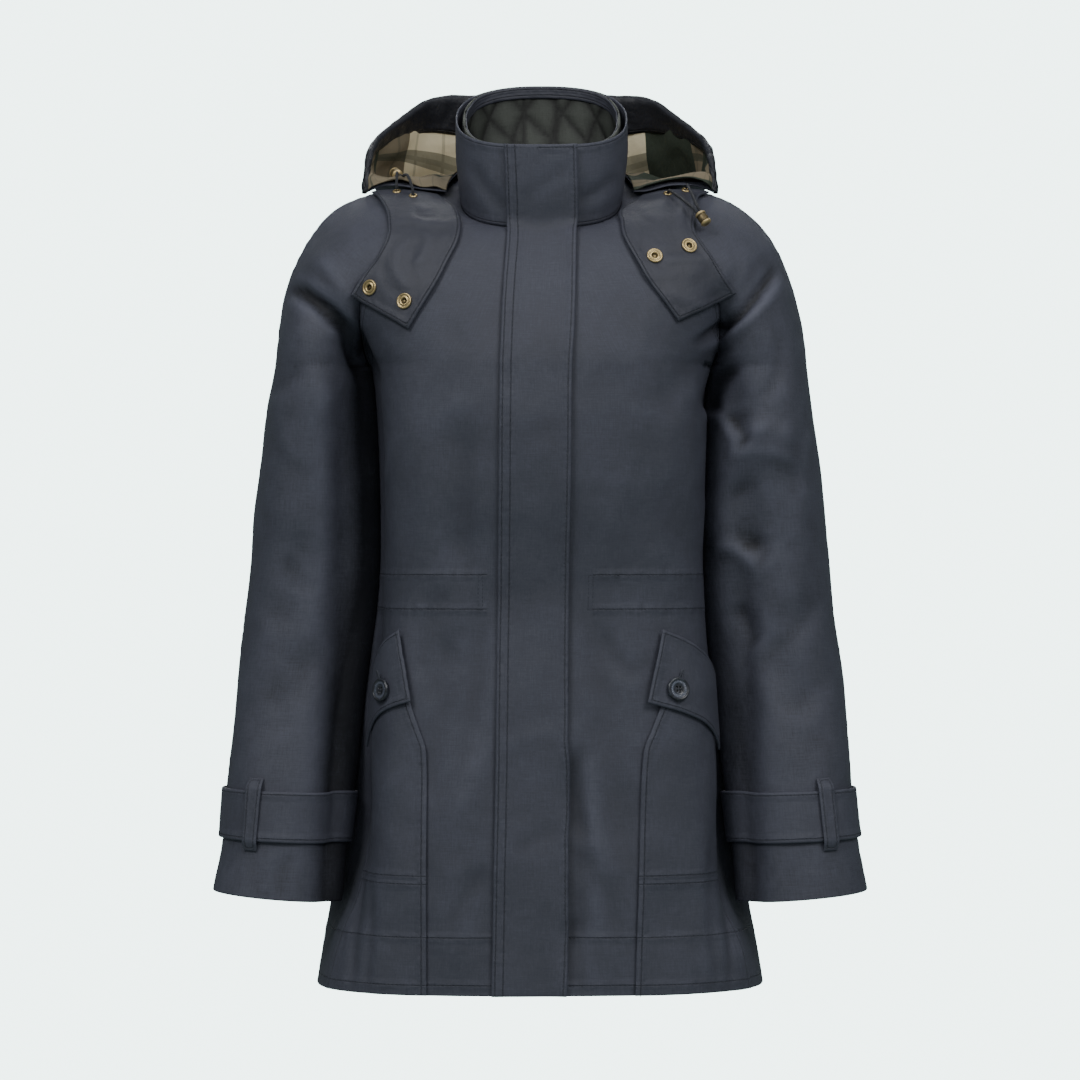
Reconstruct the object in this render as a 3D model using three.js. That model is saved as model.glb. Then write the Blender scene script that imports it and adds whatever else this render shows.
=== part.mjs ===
// Women's waxed cotton jacket with raglan sleeves, stand collar, storm flap and folded-back hood,
// filled out as it is when worn. It is hollow: neck, hem, armholes and cuffs are open.
// Lengths are millimetres. +Z is up, the front faces -Y, and the wearer's right side is at -X.
// The origin is the middle of the neck opening, level with the shoulders that carry the jacket.
import * as THREE from "three";

const CLOTH = 1.6; // one layer of waxed cotton with its backing
const DOUBLED = 2.4; // two layers sewn together
const SEAM = 0.3; // gap between neighbouring pieces
const LYING = 0.7; // gap under a piece that lies on a panel

const UNDERARM_Z = -146;
const HEM_Z = -696;
const BODY_SQUARENESS = 2.8; // exponent of the body's rounded cross-section
const SLEEVE_SQUARENESS = 2.15;
const DENT_HALF_WIDTH = 40; // of the hollow in the body's side where the sleeve hangs against it

// A short table: named columns, one row for each section.
function table(columns, rows) {
  return rows.map((row) => Object.fromEntries(columns.map((name, i) => [name, row[i]])));
}

// Body sections from underarm to hem: half-width, depth of front and back from the side seam,
// depth of the hollow in the side, and how far in front of the side seam that hollow is.
const BODY = table(
  ["z", "side", "front", "back", "dent", "forward"],
  [
    [-146, 152, 121, 108, 0, 0],
    [-165, 153, 122, 107, 4, 0],
    [-200, 154, 124, 106, 8, -1],
    [-260, 151.5, 119, 100, 8, -2],
    [-320, 151, 109, 94, 8, -3],
    [-355, 153, 105, 94, 8, -2],
    [-400, 159.5, 108, 101, 8, 1],
    [-445, 167, 113, 108, 8.5, 8],
    [-490, 173, 117, 114, 10, 18],
    [-535, 178, 120, 119, 12, 28],
    [-580, 184, 123, 124, 12, 36],
    [-616, 189, 125, 128, 10, 42],
    [-650, 194, 126, 131, 3, 44],
    [-696, 200, 128, 135, 0, 44],
  ],
);

// Sleeve sections from underarm to cuff: outer reach from the middle of the body, clearance from
// the body's side, place and half of the depth, and how far the section tips up outwards.
const SLEEVE = table(
  ["z", "outer", "clear", "middle", "depth", "tip"],
  [
    [-146, 239, 1.4, 0, 66, 0],
    [-178, 244, 1.6, 0, 68, 0.01],
    [-220, 249.5, 1.4, 2, 68, 0.02],
    [-265, 254.7, 1.4, 3, 66, 0.03],
    [-310, 259, 1.6, 4, 63, 0.03],
    [-355, 264, 1.6, 3, 61, 0.03],
    [-400, 268.5, 1.6, -1, 59, 0.03],
    [-445, 273, 2, -8, 57, 0.03],
    [-490, 276.5, 4, -18, 55, 0.03],
    [-535, 280, 7.5, -28, 53, 0.03],
    [-580, 284, 7.5, -37, 51.5, 0.05],
    [-616, 290, 5, -43, 51, 0.09],
  ],
);

// Lines that run from the neck seam down to the underarm level. Each is a cubic curve, and the
// table gives its two inner control points. The seam lines end at the underarm point.
const LINES = Object.fromEntries(
  [
    ["centreFront", [0, -84, -48], [0, -117, -108]],
    ["chest", [-84, -92, -34], [-100, -114, -112]],
    ["frontSeam", [-165, -78, -14], [-170, -94, -118]],
    ["armFront", [-180, -40, 12], [-206, -76, -86]],
    ["overArm", [-178, 8, 26], [-230, 0, -10]],
    ["armBack", [-175, 52, 16], [-208, 80, -82]],
    ["backSeam", [-148, 88, 10], [-160, 92, -128]],
    ["blade", [-80, 96, 18], [-100, 114, -70]],
    ["centreBack", [0, 86, 22], [0, 113, -62]],
  ].map(([name, upper, lower]) => [name, { upper, lower }]),
);

// Places of the seams round the neck, in degrees from centre front.
const FRONT_SEAM_AT = 46;
const OVER_ARM_AT = 100;
const BACK_SEAM_AT = 138;

// Neck seam and collar edge: half-width, reach to front and back, height there, and how the
// height rises between them.
const NECK = { side: 72, front: 66, back: 58, frontZ: -26, backZ: 44, rise: 1.2 };
const COLLAR_EDGE = { side: 77, front: 76, back: 63, frontZ: 46, backZ: 115, rise: 1.2 };
const RING_SQUARENESS = 2.4;

// The front edges lean a little: sideways place of the centre line at collar edge and hem.
const LEAN_TOP = 2;
const LEAN_HEM = -10;

// Large folds, as soft troughs (depth above 0) and ridges (below 0) between two points seen from
// the front (face -1) or the back (face 1). Width is the fold's half-width.
const FOLDS = table(
  ["face", "x1", "z1", "x2", "z2", "width", "depth"],
  [
    [-1, -212, -72, -158, -138, 13, 7],
    [-1, -200, -45, -155, -112, 11, -4],
    [-1, -222, -110, -180, -190, 16, -3],
    [-1, -206, -300, -232, -380, 18, 4],
    [-1, -190, -400, -240, -450, 20, 3],
    [-1, 210, -50, 152, -112, 12, 6],
    [-1, 160, -150, 182, -200, 13, 7],
    [-1, 176, -205, 226, -214, 14, -4],
    [-1, 180, -245, 192, -310, 14, 6],
    [-1, 232, -260, 222, -360, 18, -4],
    [-1, 200, -400, 240, -450, 18, 3],
    [-1, -74, -200, -68, -320, 20, 4],
    [-1, -70, -385, -92, -520, 20, 5],
    [-1, -60, -480, -62, -660, 22, -3],
    [-1, 48, -380, 78, -560, 18, 4],
    [-1, 34, -500, 42, -660, 14, 5],
    [-1, 100, -160, 96, -290, 26, 3],
    [1, -60, -120, -95, -260, 26, 4],
    [1, 55, -140, 85, -300, 24, 4],
    [1, 0, -350, -20, -600, 26, 5],
    [1, 90, -380, 110, -640, 26, 4],
    [1, -100, -380, -125, -640, 28, 4],
    [1, -215, -80, -170, -150, 14, 5],
    [1, 215, -80, 168, -160, 14, 5],
    [1, -200, -290, -235, -340, 16, 4],
    [1, 200, -300, 240, -345, 16, 4],
  ],
);

const mix = (a, b, t) => a + (b - a) * t;
const clamp01 = (t) => Math.min(1, Math.max(0, t));
const ease = (t) => clamp01(t) ** 2 * (3 - 2 * clamp01(t));
const power = (value, exponent) => Math.sign(value) * Math.abs(value) ** (2 / exponent);
const radians = (degrees) => (degrees * Math.PI) / 180;

// A smooth curve through a table's rows: every column at the given value of the key column.
function rowAt(rows, key, at) {
  const rising = rows[1][key] > rows[0][key];
  const ordered = rising ? rows : [...rows].reverse();
  let i = 0;
  while (i < ordered.length - 2 && ordered[i + 1][key] < at) i += 1;
  const [a, b] = [ordered[i], ordered[i + 1]];
  const before = ordered[Math.max(0, i - 1)];
  const after = ordered[Math.min(ordered.length - 1, i + 2)];
  const span = b[key] - a[key];
  const t = clamp01((at - a[key]) / span);
  const found = {};
  for (const name of Object.keys(a)) {
    const slopeA = ((b[name] - before[name]) / (b[key] - before[key] || 1)) * span;
    const slopeB = ((after[name] - a[name]) / (after[key] - a[key] || 1)) * span;
    const t2 = t * t;
    const t3 = t2 * t;
    found[name] =
      a[name] * (2 * t3 - 3 * t2 + 1) + slopeA * (t3 - 2 * t2 + t) +
      b[name] * (3 * t2 - 2 * t3) + slopeB * (t3 - t2);
  }
  return found;
}

// A point on the neck seam or the collar's edge, on the wearer's right, by angle from the front.
function ringPoint(ring, degrees) {
  const angle = radians(degrees);
  const reach = degrees < 90 ? ring.front : ring.back;
  const x = -ring.side * power(Math.sin(angle), RING_SQUARENESS);
  const y = -reach * power(Math.cos(angle), RING_SQUARENESS);
  const share = clamp01((y + ring.front) / (ring.front + ring.back));
  return [x, y, mix(ring.frontZ, ring.backZ, share ** ring.rise)];
}

// Body cross-section: a quarter from the centre line (u = 0) to the side seam (u = 1).
function bodyQuarter(u, z, face) {
  const row = rowAt(BODY, "z", z);
  const angle = (u * Math.PI) / 2;
  const reach = face < 0 ? row.front : row.back;
  const y = face * reach * power(Math.cos(angle), BODY_SQUARENESS);
  const dent = row.dent * Math.exp(-(((y + row.forward) / DENT_HALF_WIDTH) ** 2));
  return [dent - row.side * power(Math.sin(angle), BODY_SQUARENESS), y, z];
}

// Sleeve section at a height, with its inner reach just outside the body's hollow side.
function sleeveRow(z) {
  const row = rowAt(SLEEVE, "z", z);
  const body = rowAt(BODY, "z", z);
  const share = 1 - (Math.abs(row.middle) / body.front) ** BODY_SQUARENESS;
  row.inner = body.side * share ** (1 / BODY_SQUARENESS) - body.dent + row.clear;
  return row;
}

// Sleeve cross-section: a half from the underarm seam (u = 0) to the over-arm seam (u = 1).
function sleeveHalf(u, z, face) {
  const row = sleeveRow(z);
  const angle = u * Math.PI;
  const across = ((row.outer - row.inner) / 2) * power(Math.cos(angle), SLEEVE_SQUARENESS);
  const x = -(row.outer + row.inner) / 2 + across;
  const y = row.middle + face * row.depth * power(Math.sin(angle), SLEEVE_SQUARENESS);
  return [x, y, z - across * row.tip];
}

// A control point between three lines: a quadratic through them at u = 0, 0.5 and 1.
function across(names, end, u) {
  const [a, m, b] = names.map((name) => LINES[name][end]);
  return [0, 1, 2].map(
    (i) => a[i] * (1 - u) * (1 - 2 * u) + m[i] * 4 * u * (1 - u) + b[i] * u * (2 * u - 1),
  );
}

function cubic(p0, p1, p2, p3, t) {
  const s = 1 - t;
  return [0, 1, 2].map(
    (i) => p0[i] * s ** 3 + 3 * p1[i] * s * s * t + 3 * p2[i] * s * t * t + p3[i] * t ** 3,
  );
}

// The four kinds of shell panel. v runs from the neck seam (0) to the underarm level (1), and
// then down to the hem or the cuff (2).
const PANELS = {
  front: {
    lines: ["centreFront", "chest", "frontSeam"], neck: [0, FRONT_SEAM_AT],
    face: -1, section: bodyQuarter, end: HEM_Z,
  },
  back: {
    lines: ["centreBack", "blade", "backSeam"], neck: [180, BACK_SEAM_AT],
    face: 1, section: bodyQuarter, end: HEM_Z,
  },
  sleeveFront: {
    lines: ["frontSeam", "armFront", "overArm"], neck: [FRONT_SEAM_AT, OVER_ARM_AT],
    face: -1, section: sleeveHalf, end: SLEEVE.at(-1).z,
  },
  sleeveBack: {
    lines: ["backSeam", "armBack", "overArm"], neck: [BACK_SEAM_AT, OVER_ARM_AT],
    face: 1, section: sleeveHalf, end: SLEEVE.at(-1).z,
  },
};

// How deep the folds are at a place seen from the front or back.
function foldDepth(face, x, z) {
  let depth = 0;
  for (const fold of FOLDS) {
    if (fold.face !== face) continue;
    const [dx, dz] = [fold.x2 - fold.x1, fold.z2 - fold.z1];
    const length = Math.hypot(dx, dz);
    const along = ((x - fold.x1) * dx + (z - fold.z1) * dz) / length;
    const off = ((x - fold.x1) * dz - (z - fold.z1) * dx) / length;
    const fade = ease(along / (0.35 * length) + 0.5) * ease((length - along) / (0.35 * length) + 0.5);
    depth += fold.depth * fade * Math.exp(-((off / fold.width) ** 2));
  }
  return depth;
}

// Sideways shift of the leaning centre line, which fades out towards the side seams.
function lean(x, z) {
  const down = clamp01((COLLAR_EDGE.frontZ - z) / (COLLAR_EDGE.frontZ - HEM_Z));
  const half = rowAt(BODY, "z", Math.max(HEM_Z, Math.min(UNDERARM_Z, z))).side;
  return mix(LEAN_TOP, LEAN_HEM, down) * Math.max(0, 1 - (x / half) ** 2);
}

// A point of the shell on one side (-1 is the wearer's right), folds and lean included.
function shellPoint(kind, side, u, v) {
  const panel = PANELS[kind];
  const z = v <= 1 ? UNDERARM_Z : mix(UNDERARM_Z, panel.end, v - 1);
  const below = panel.section(u, z, panel.face);
  let p = below;
  if (v < 1) {
    const neck = ringPoint(NECK, mix(panel.neck[0], panel.neck[1], u));
    p = cubic(neck, across(panel.lines, "upper", u), across(panel.lines, "lower", u), below, v);
  }
  const x = -side * p[0];
  const middle = v > 1 && kind.startsWith("sleeve") ? rowAt(SLEEVE, "z", p[2]).middle : 0;
  const facing = ease((panel.face * (p[1] - middle)) / 42);
  const depth = foldDepth(panel.face, x, p[2]) * facing * ease((v - 0.05) / 0.3);
  return new THREE.Vector3(x + lean(x, p[2]), p[1] - panel.face * depth, p[2]);
}

// A grid of points, one row for each v and one column for each u.
function gridOf(point, us, vs) {
  return vs.map((v) => us.map((u) => point(u, v)));
}

const steps = (from, to, count) => Array.from({ length: count + 1 }, (_, i) => mix(from, to, i / count));

// Vertex normals of a grid, turned so that they agree with the outward direction given.
function normalsOf(grid, outward, closed = false) {
  const [rows, columns] = [grid.length, grid[0].length];
  const column = (j) => (closed ? (j + columns) % columns : Math.min(columns - 1, Math.max(0, j)));
  const row = (i) => Math.min(rows - 1, Math.max(0, i));
  let agreement = 0;
  const normals = grid.map((line, i) =>
    line.map((p, j) => {
      const alongU = grid[i][column(j + 1)].clone().sub(grid[i][column(j - 1)]);
      const alongV = grid[row(i + 1)][j].clone().sub(grid[row(i - 1)][j]);
      const n = alongU.cross(alongV).normalize();
      agreement += Math.sign(n.dot(outward(p)));
      return n;
    }),
  );
  if (agreement < 0) normals.flat().forEach((n) => n.negate());
  return normals;
}

// Gives two panels the same normals along a seam, so that their walls end face to face.
function shareNormals(a, columnA, b, columnB, from, to) {
  for (let i = from; i <= to; i += 1) {
    const shared = a[i].at(columnA).clone().add(b[i].at(columnB)).normalize();
    a[i].at(columnA).copy(shared);
    b[i].at(columnB).copy(shared);
  }
}

// Moves a grid's side edges in by half of the seam gap.
function insetSides(grid, first = SEAM / 2, last = SEAM / 2) {
  const move = (p, towards, by) => p.add(towards.clone().sub(p).setLength(by));
  grid.forEach((line) => {
    if (first) move(line[0], line[1], first);
    if (last) move(line.at(-1), line.at(-2), last);
  });
}

// A closed body between two layers of points with the same rows and columns.
function layered(outer, inner, closed = false) {
  const [rows, columns] = [outer.length, outer[0].length];
  const points = [...outer.flat(), ...inner.flat()];
  const at = (layer, i, j) => layer * rows * columns + i * columns + (j % columns);
  const faces = [];
  const quad = (a, b, c, d) => faces.push(a, b, c, a, c, d);
  const lastColumn = closed ? columns : columns - 1;
  for (let i = 0; i < rows - 1; i += 1)
    for (let j = 0; j < lastColumn; j += 1) {
      const corners = [[i, j], [i, j + 1], [i + 1, j + 1], [i + 1, j]];
      const [a, b, c, d] = corners.map(([row, column]) => points[at(0, row, column)]);
      if (a.distanceTo(c) > b.distanceTo(d)) corners.push(corners.shift());
      const cornersOf = (layer) => corners.map(([row, column]) => at(layer, row, column));
      quad(...cornersOf(0));
      const [e, f, g, h] = cornersOf(1);
      quad(e, h, g, f);
    }
  for (let j = 0; j < lastColumn; j += 1) {
    quad(at(0, 0, j), at(1, 0, j), at(1, 0, j + 1), at(0, 0, j + 1));
    quad(at(0, rows - 1, j), at(0, rows - 1, j + 1), at(1, rows - 1, j + 1), at(1, rows - 1, j));
  }
  for (let i = 0; i < rows - 1 && !closed; i += 1) {
    quad(at(0, i, 0), at(0, i + 1, 0), at(1, i + 1, 0), at(1, i, 0));
    quad(at(0, i, columns - 1), at(1, i, columns - 1), at(1, i + 1, columns - 1), at(0, i + 1, columns - 1));
  }
  let volume = 0;
  for (let f = 0; f < faces.length; f += 3) {
    const [a, b, c] = [points[faces[f]], points[faces[f + 1]], points[faces[f + 2]]];
    volume += a.dot(b.clone().cross(c));
  }
  if (volume < 0)
    for (let f = 0; f < faces.length; f += 3) [faces[f + 1], faces[f + 2]] = [faces[f + 2], faces[f + 1]];
  const geometry = new THREE.BufferGeometry();
  geometry.setAttribute("position", new THREE.Float32BufferAttribute(points.flatMap((p) => p.toArray()), 3));
  geometry.setIndex(faces);
  return geometry;
}

const moved = (grid, normals, by) =>
  grid.map((line, i) => line.map((p, j) => p.clone().addScaledVector(normals[i][j], by)));

// A wall whose outer face is the grid.
const wall = (grid, normals, thickness, closed = false) =>
  layered(grid, moved(grid, normals, -thickness), closed);

const group = new THREE.Group();
const COLOURS = {
  waxed: [0x3a3f49, 0.62, 0],
  quilt: [0x34382f, 0.7, 0],
  lining: [0xb8a37e, 0.85, 0],
  brass: [0xb89a5c, 0.35, 0.9],
  nickel: [0x8a857c, 0.35, 0.9],
  horn: [0x23252b, 0.4, 0],
  cord: [0x2c3038, 0.8, 0],
};
function add(name, geometry, colour) {
  const [color, roughness, metalness] = COLOURS[colour];
  const mesh = new THREE.Mesh(geometry, new THREE.MeshStandardMaterial({ color, roughness, metalness }));
  mesh.name = name;
  group.add(mesh);
  return mesh;
}

// Shell panels of both sides

const YOKE_ROWS = 8;
const BODY_ROWS = 20;
const SLEEVE_ROWS = 17;
const COLUMNS = {
  front: [0, 0.12, 0.24, 0.36, 0.48, 0.6, 0.71, 0.81, 0.9, 0.96, 1],
  back: [0, 0.14, 0.28, 0.42, 0.56, 0.69, 0.8, 0.89, 0.96, 1],
  sleeveFront: steps(0, 1, 7),
  sleeveBack: steps(0, 1, 7),
};
const SIDES = { right: -1, left: 1 };

const shell = {};
for (const [sideName, side] of Object.entries(SIDES))
  for (const kind of Object.keys(PANELS)) {
    const onSleeve = kind.startsWith("sleeve");
    const vs = [...steps(0, 1, YOKE_ROWS), ...steps(1, 2, onSleeve ? SLEEVE_ROWS : BODY_ROWS).slice(1)];
    const grid = gridOf((u, v) => shellPoint(kind, side, u, v), COLUMNS[kind], vs);
    const outward = (p) => {
      const middleX = onSleeve ? side * mix(185, 235, clamp01((UNDERARM_Z - p.z) / 466)) : 0;
      const up = onSleeve && p.z > UNDERARM_Z ? 60 : 0;
      return new THREE.Vector3(p.x - middleX, p.y, up);
    };
    shell[kind + sideName] = { grid, normals: normalsOf(grid, outward), us: COLUMNS[kind], vs };
  }
for (const sideName of Object.keys(SIDES)) {
  const [front, back, sleeveFront, sleeveBack] = Object.keys(PANELS).map((kind) => shell[kind + sideName]);
  const lastRow = (part) => part.grid.length - 1;
  shareNormals(front.normals, -1, sleeveFront.normals, 0, 0, YOKE_ROWS - 1);
  shareNormals(back.normals, -1, sleeveBack.normals, 0, 0, YOKE_ROWS - 1);
  shareNormals(front.normals, -1, back.normals, -1, YOKE_ROWS, lastRow(front));
  shareNormals(sleeveFront.normals, 0, sleeveBack.normals, 0, YOKE_ROWS, lastRow(sleeveFront));
  shareNormals(sleeveFront.normals, -1, sleeveBack.normals, -1, 0, lastRow(sleeveFront));
}
shareNormals(shell.frontright.normals, 0, shell.frontleft.normals, 0, 0, YOKE_ROWS + BODY_ROWS);
shareNormals(shell.backright.normals, 0, shell.backleft.normals, 0, 0, YOKE_ROWS + BODY_ROWS);

// The back is one piece: both halves joined along the centre line.
const joined = (right, left) => right.map((line, i) => [...[...line].reverse(), ...left[i].slice(1)]);
const back = {
  grid: joined(shell.backright.grid, shell.backleft.grid),
  normals: joined(shell.backright.normals, shell.backleft.normals),
};
const NODE_NAMES = { front: "front", sleeveFront: "sleeve_front", sleeveBack: "sleeve_back" };
for (const sideName of Object.keys(SIDES))
  for (const [kind, name] of Object.entries(NODE_NAMES)) {
    const part = shell[kind + sideName];
    insetSides(part.grid);
    add(`${name}_${sideName}`, wall(part.grid, part.normals, CLOTH), "waxed");
  }
insetSides(back.grid);
add("back", wall(back.grid, back.normals, CLOTH), "waxed");

// Collar: an outer layer, a quilted layer inside it and a binding along the inner edge

const COLLAR_ROWS = 3;
const COLLAR_COLUMNS = 28;
const collarPoint = (degrees, v) => {
  const right = degrees <= 180;
  const angle = right ? degrees : 360 - degrees;
  const [top, seam] = [ringPoint(COLLAR_EDGE, angle), ringPoint(NECK, angle)];
  const belly = 2.5 * Math.sin(Math.PI * v);
  const p = new THREE.Vector3(...top.map((value, i) => mix(value, seam[i], v)));
  p.x = (right ? p.x : -p.x) * (1 + belly / 75);
  p.y *= 1 + belly / 70;
  p.x += lean(p.x, p.z);
  p.z += SEAM * v;
  return p;
};
const fromNeckAxis = (p) => new THREE.Vector3(p.x, p.y, 0);
const collarGrid = gridOf(collarPoint, steps(0.5, 359.5, COLLAR_COLUMNS), steps(0, 1, COLLAR_ROWS));
const collarNormals = normalsOf(collarGrid, fromNeckAxis);
add("collar", wall(collarGrid, collarNormals, CLOTH), "waxed");
const layerInside = (grid, normals, from, thickness) =>
  layered(moved(grid, normals, -from), moved(grid, normals, -from - thickness));
add("collar_lining", layerInside(collarGrid, collarNormals, CLOTH + 0.4, 2), "quilt");
const bindingGrid = gridOf(collarPoint, steps(0.5, 359.5, COLLAR_COLUMNS), steps(0.01, 0.17, 1));
const bindingNormals = normalsOf(bindingGrid, fromNeckAxis);
add("collar_binding", layerInside(bindingGrid, bindingNormals, CLOTH + 2.8, 1.1), "waxed");

// A place on a panel as it is built, between the points of its grid.
function panelPoint(kind, sideName, u, v) {
  const { grid, us, vs } = shell[kind + sideName];
  const cell = (list, value) => Math.min(list.length - 2, Math.max(0, list.findIndex((n) => n > value) - 1));
  const j = u >= 1 ? us.length - 2 : cell(us, u);
  const i = v >= 2 ? vs.length - 2 : cell(vs, v);
  const [a, b] = [(u - us[j]) / (us[j + 1] - us[j]), (v - vs[i]) / (vs[i + 1] - vs[i])];
  const along = (line) => line[j].clone().lerp(line[j + 1], a);
  return along(grid[i]).lerp(along(grid[i + 1]), b);
}

// Everything below lies on the pieces above. A cloud of their points tells how far off a place is.

const cloud = [];
for (const part of [...Object.values(shell), { grid: collarGrid, normals: collarNormals }])
  part.grid.forEach((line, i) => line.forEach((p, j) => cloud.push([p, part.normals[i][j]])));
function nearest(p) {
  let best = cloud[0];
  let least = Infinity;
  for (const entry of cloud) {
    const distance = entry[0].distanceToSquared(p);
    if (distance < least) [best, least] = [entry, distance];
  }
  return best;
}
const heightOver = (p) => {
  const [q, n] = nearest(p);
  return p.clone().sub(q).dot(n);
};

// Moves a point outwards until it clears the panels.
function lifted(p, clearance) {
  const [q, n] = nearest(p);
  const height = p.clone().sub(q).dot(n);
  return height < clearance ? p.clone().addScaledVector(n, clearance - height) : p;
}

// The place seen from the front at x and z, at a given height over the panels.
function draped(x, z, clearance) {
  const p = new THREE.Vector3(x, -150, z);
  while (p.y < 60 && heightOver(p) > clearance) p.y += 1;
  return lifted(p, clearance);
}

// Storm flap from the collar's edge to the hem

const FLAP_SIDES = table(
  ["v", "from", "to"],
  [
    [0, -31, 31.5],
    [1, -29, 32.5],
    [1.6, -33, 31],
    [2.4, -37, 25],
    [3, -42, 23],
  ],
);
function columnAt(pointAt, x, from, to) {
  let [low, high] = [from, to];
  for (let i = 0; i < 30; i += 1) {
    const middle = (low + high) / 2;
    if ((pointAt(middle).x < x) === (pointAt(high).x > pointAt(low).x)) low = middle;
    else high = middle;
  }
  return pointAt((low + high) / 2);
}
// A point of the fronts at x, by v, and the same for the collar.
const frontAt = (x, v) => {
  const onRight = x < panelPoint("front", "right", 0, v).x;
  return columnAt((u) => panelPoint("front", onRight ? "right" : "left", u, v), x, 0, 0.8);
};
const collarAt = (x, v) => {
  const onRight = x < collarPoint(0, v).x;
  return columnAt((d) => collarPoint(onRight ? d : 360 - d, v), x, 0, 60);
};
const stormRows = [
  ...steps(0, 1, 3).slice(0, -1),
  ...steps(1, 2, YOKE_ROWS).slice(0, -1),
  ...steps(2, 3, BODY_ROWS),
];
const stormGrid = stormRows.map((v) => {
  const { from, to } = rowAt(FLAP_SIDES, "v", v);
  return steps(from, to, 5).map((x) => (v < 1 ? collarAt(x, v) : frontAt(x, v - 1)));
});
stormGrid[3].forEach((p, j) => p.add(stormGrid[2][j]).add(stormGrid[4][j]).divideScalar(3));
stormGrid[0].forEach((p) => (p.z += 1));
stormGrid.at(-1).forEach((p, j) => (p.z -= 0.5 + 0.6 * j));
const forwards = () => new THREE.Vector3(0, -1, 0);
const stormNormals = normalsOf(stormGrid, forwards);
const over = (grid, normals, from, thickness) =>
  layered(moved(grid, normals, from), moved(grid, normals, from + thickness));
add("storm_flap", over(stormGrid, stormNormals, LYING + 0.3, DOUBLED), "waxed");

// Pockets and their flaps, placed by distance from the centre line and by height

const POCKET_THICKNESS = 2.2;
const POCKET = table(
  ["z", "edge"],
  [
    [-398, 118],
    [-440, 110],
    [-466, 101],
    [-486, 94],
    [-560, 92],
    [-694, 90],
  ],
);
const POCKET_FLAPS = {
  right: table(
    ["share", "x", "top", "bottom"],
    [
      [0, 118, -381, -443],
      [0.33, 0, -391, -451],
      [0.66, 0, -405, -464],
      [1, 0, -420, -484],
    ],
  ),
  left: table(
    ["share", "x", "top", "bottom"],
    [
      [0, 107, -380, -444],
      [0.33, 0, -389, -453],
      [0.66, 0, -401, -466],
      [1, 0, -419, -487],
    ],
  ),
};
const POCKET_REAR = 0.71; // share of the way round to the side seam
const FLAP_REAR = 0.77;

// How far round a front panel a place is that many millimetres from the centre line.
function shareOf(x, z) {
  let [low, high] = [0, 0.85];
  for (let i = 0; i < 30; i += 1) {
    const middle = (low + high) / 2;
    if (-bodyQuarter(middle, z, -1)[0] < x) low = middle;
    else high = middle;
  }
  return (low + high) / 2;
}
const onFront = (sideName, u, z) =>
  panelPoint("front", sideName, u, 1 + (UNDERARM_Z - z) / (UNDERARM_Z - HEM_Z));
const awayFromBody = (p) => new THREE.Vector3(p.x, p.y, 0);
const flapGrids = {};
for (const sideName of Object.keys(SIDES)) {
  const zs = steps(UNDERARM_Z, HEM_Z, BODY_ROWS).slice(13);
  const pocketRow = (zAt) => {
    const edge = shareOf(rowAt(POCKET, "z", zAt(0)).edge, zAt(0));
    const us = [edge, Math.max(0.36, edge + 0.02), Math.max(0.48, edge + 0.04), 0.6, POCKET_REAR];
    return us.map((u, j) => onFront(sideName, u, zAt(j / 4)));
  };
  const mouthZ = (share) => mix(-396, -436, share);
  const pocketGrid = [
    ...steps(0, 1, 4).slice(0, -1).map((down) => pocketRow((share) => mix(mouthZ(share), zs[0], down))),
    ...zs.map((z) => pocketRow(() => z)),
  ];
  const pocketNormals = normalsOf(pocketGrid, awayFromBody);
  add(`pocket_${sideName}`, over(pocketGrid, pocketNormals, LYING + 0.4, POCKET_THICKNESS), "waxed");
  const rows = POCKET_FLAPS[sideName];
  const flapGrid = steps(0, 1, 4).map((down) => {
    const frontZ = mix(rows[0].top, rows[0].bottom, down);
    const edge = shareOf(rows[0].x - 11 * down, frontZ);
    return steps(0, 1, 8).map((share) => {
      const row = rowAt(rows, "share", share);
      return onFront(sideName, mix(edge, FLAP_REAR, share), mix(row.top, row.bottom, down));
    });
  });
  const flapNormals = normalsOf(flapGrid, awayFromBody);
  const lift = 2 * LYING + POCKET_THICKNESS + 0.7;
  flapGrids[sideName] = { grid: moved(flapGrid, flapNormals, lift + DOUBLED), normals: flapNormals };
  add(`pocket_flap_${sideName}`, over(flapGrid, flapNormals, lift, DOUBLED), "waxed");
}

// Sleeve bands near the cuffs, each held down by a loop

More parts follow.
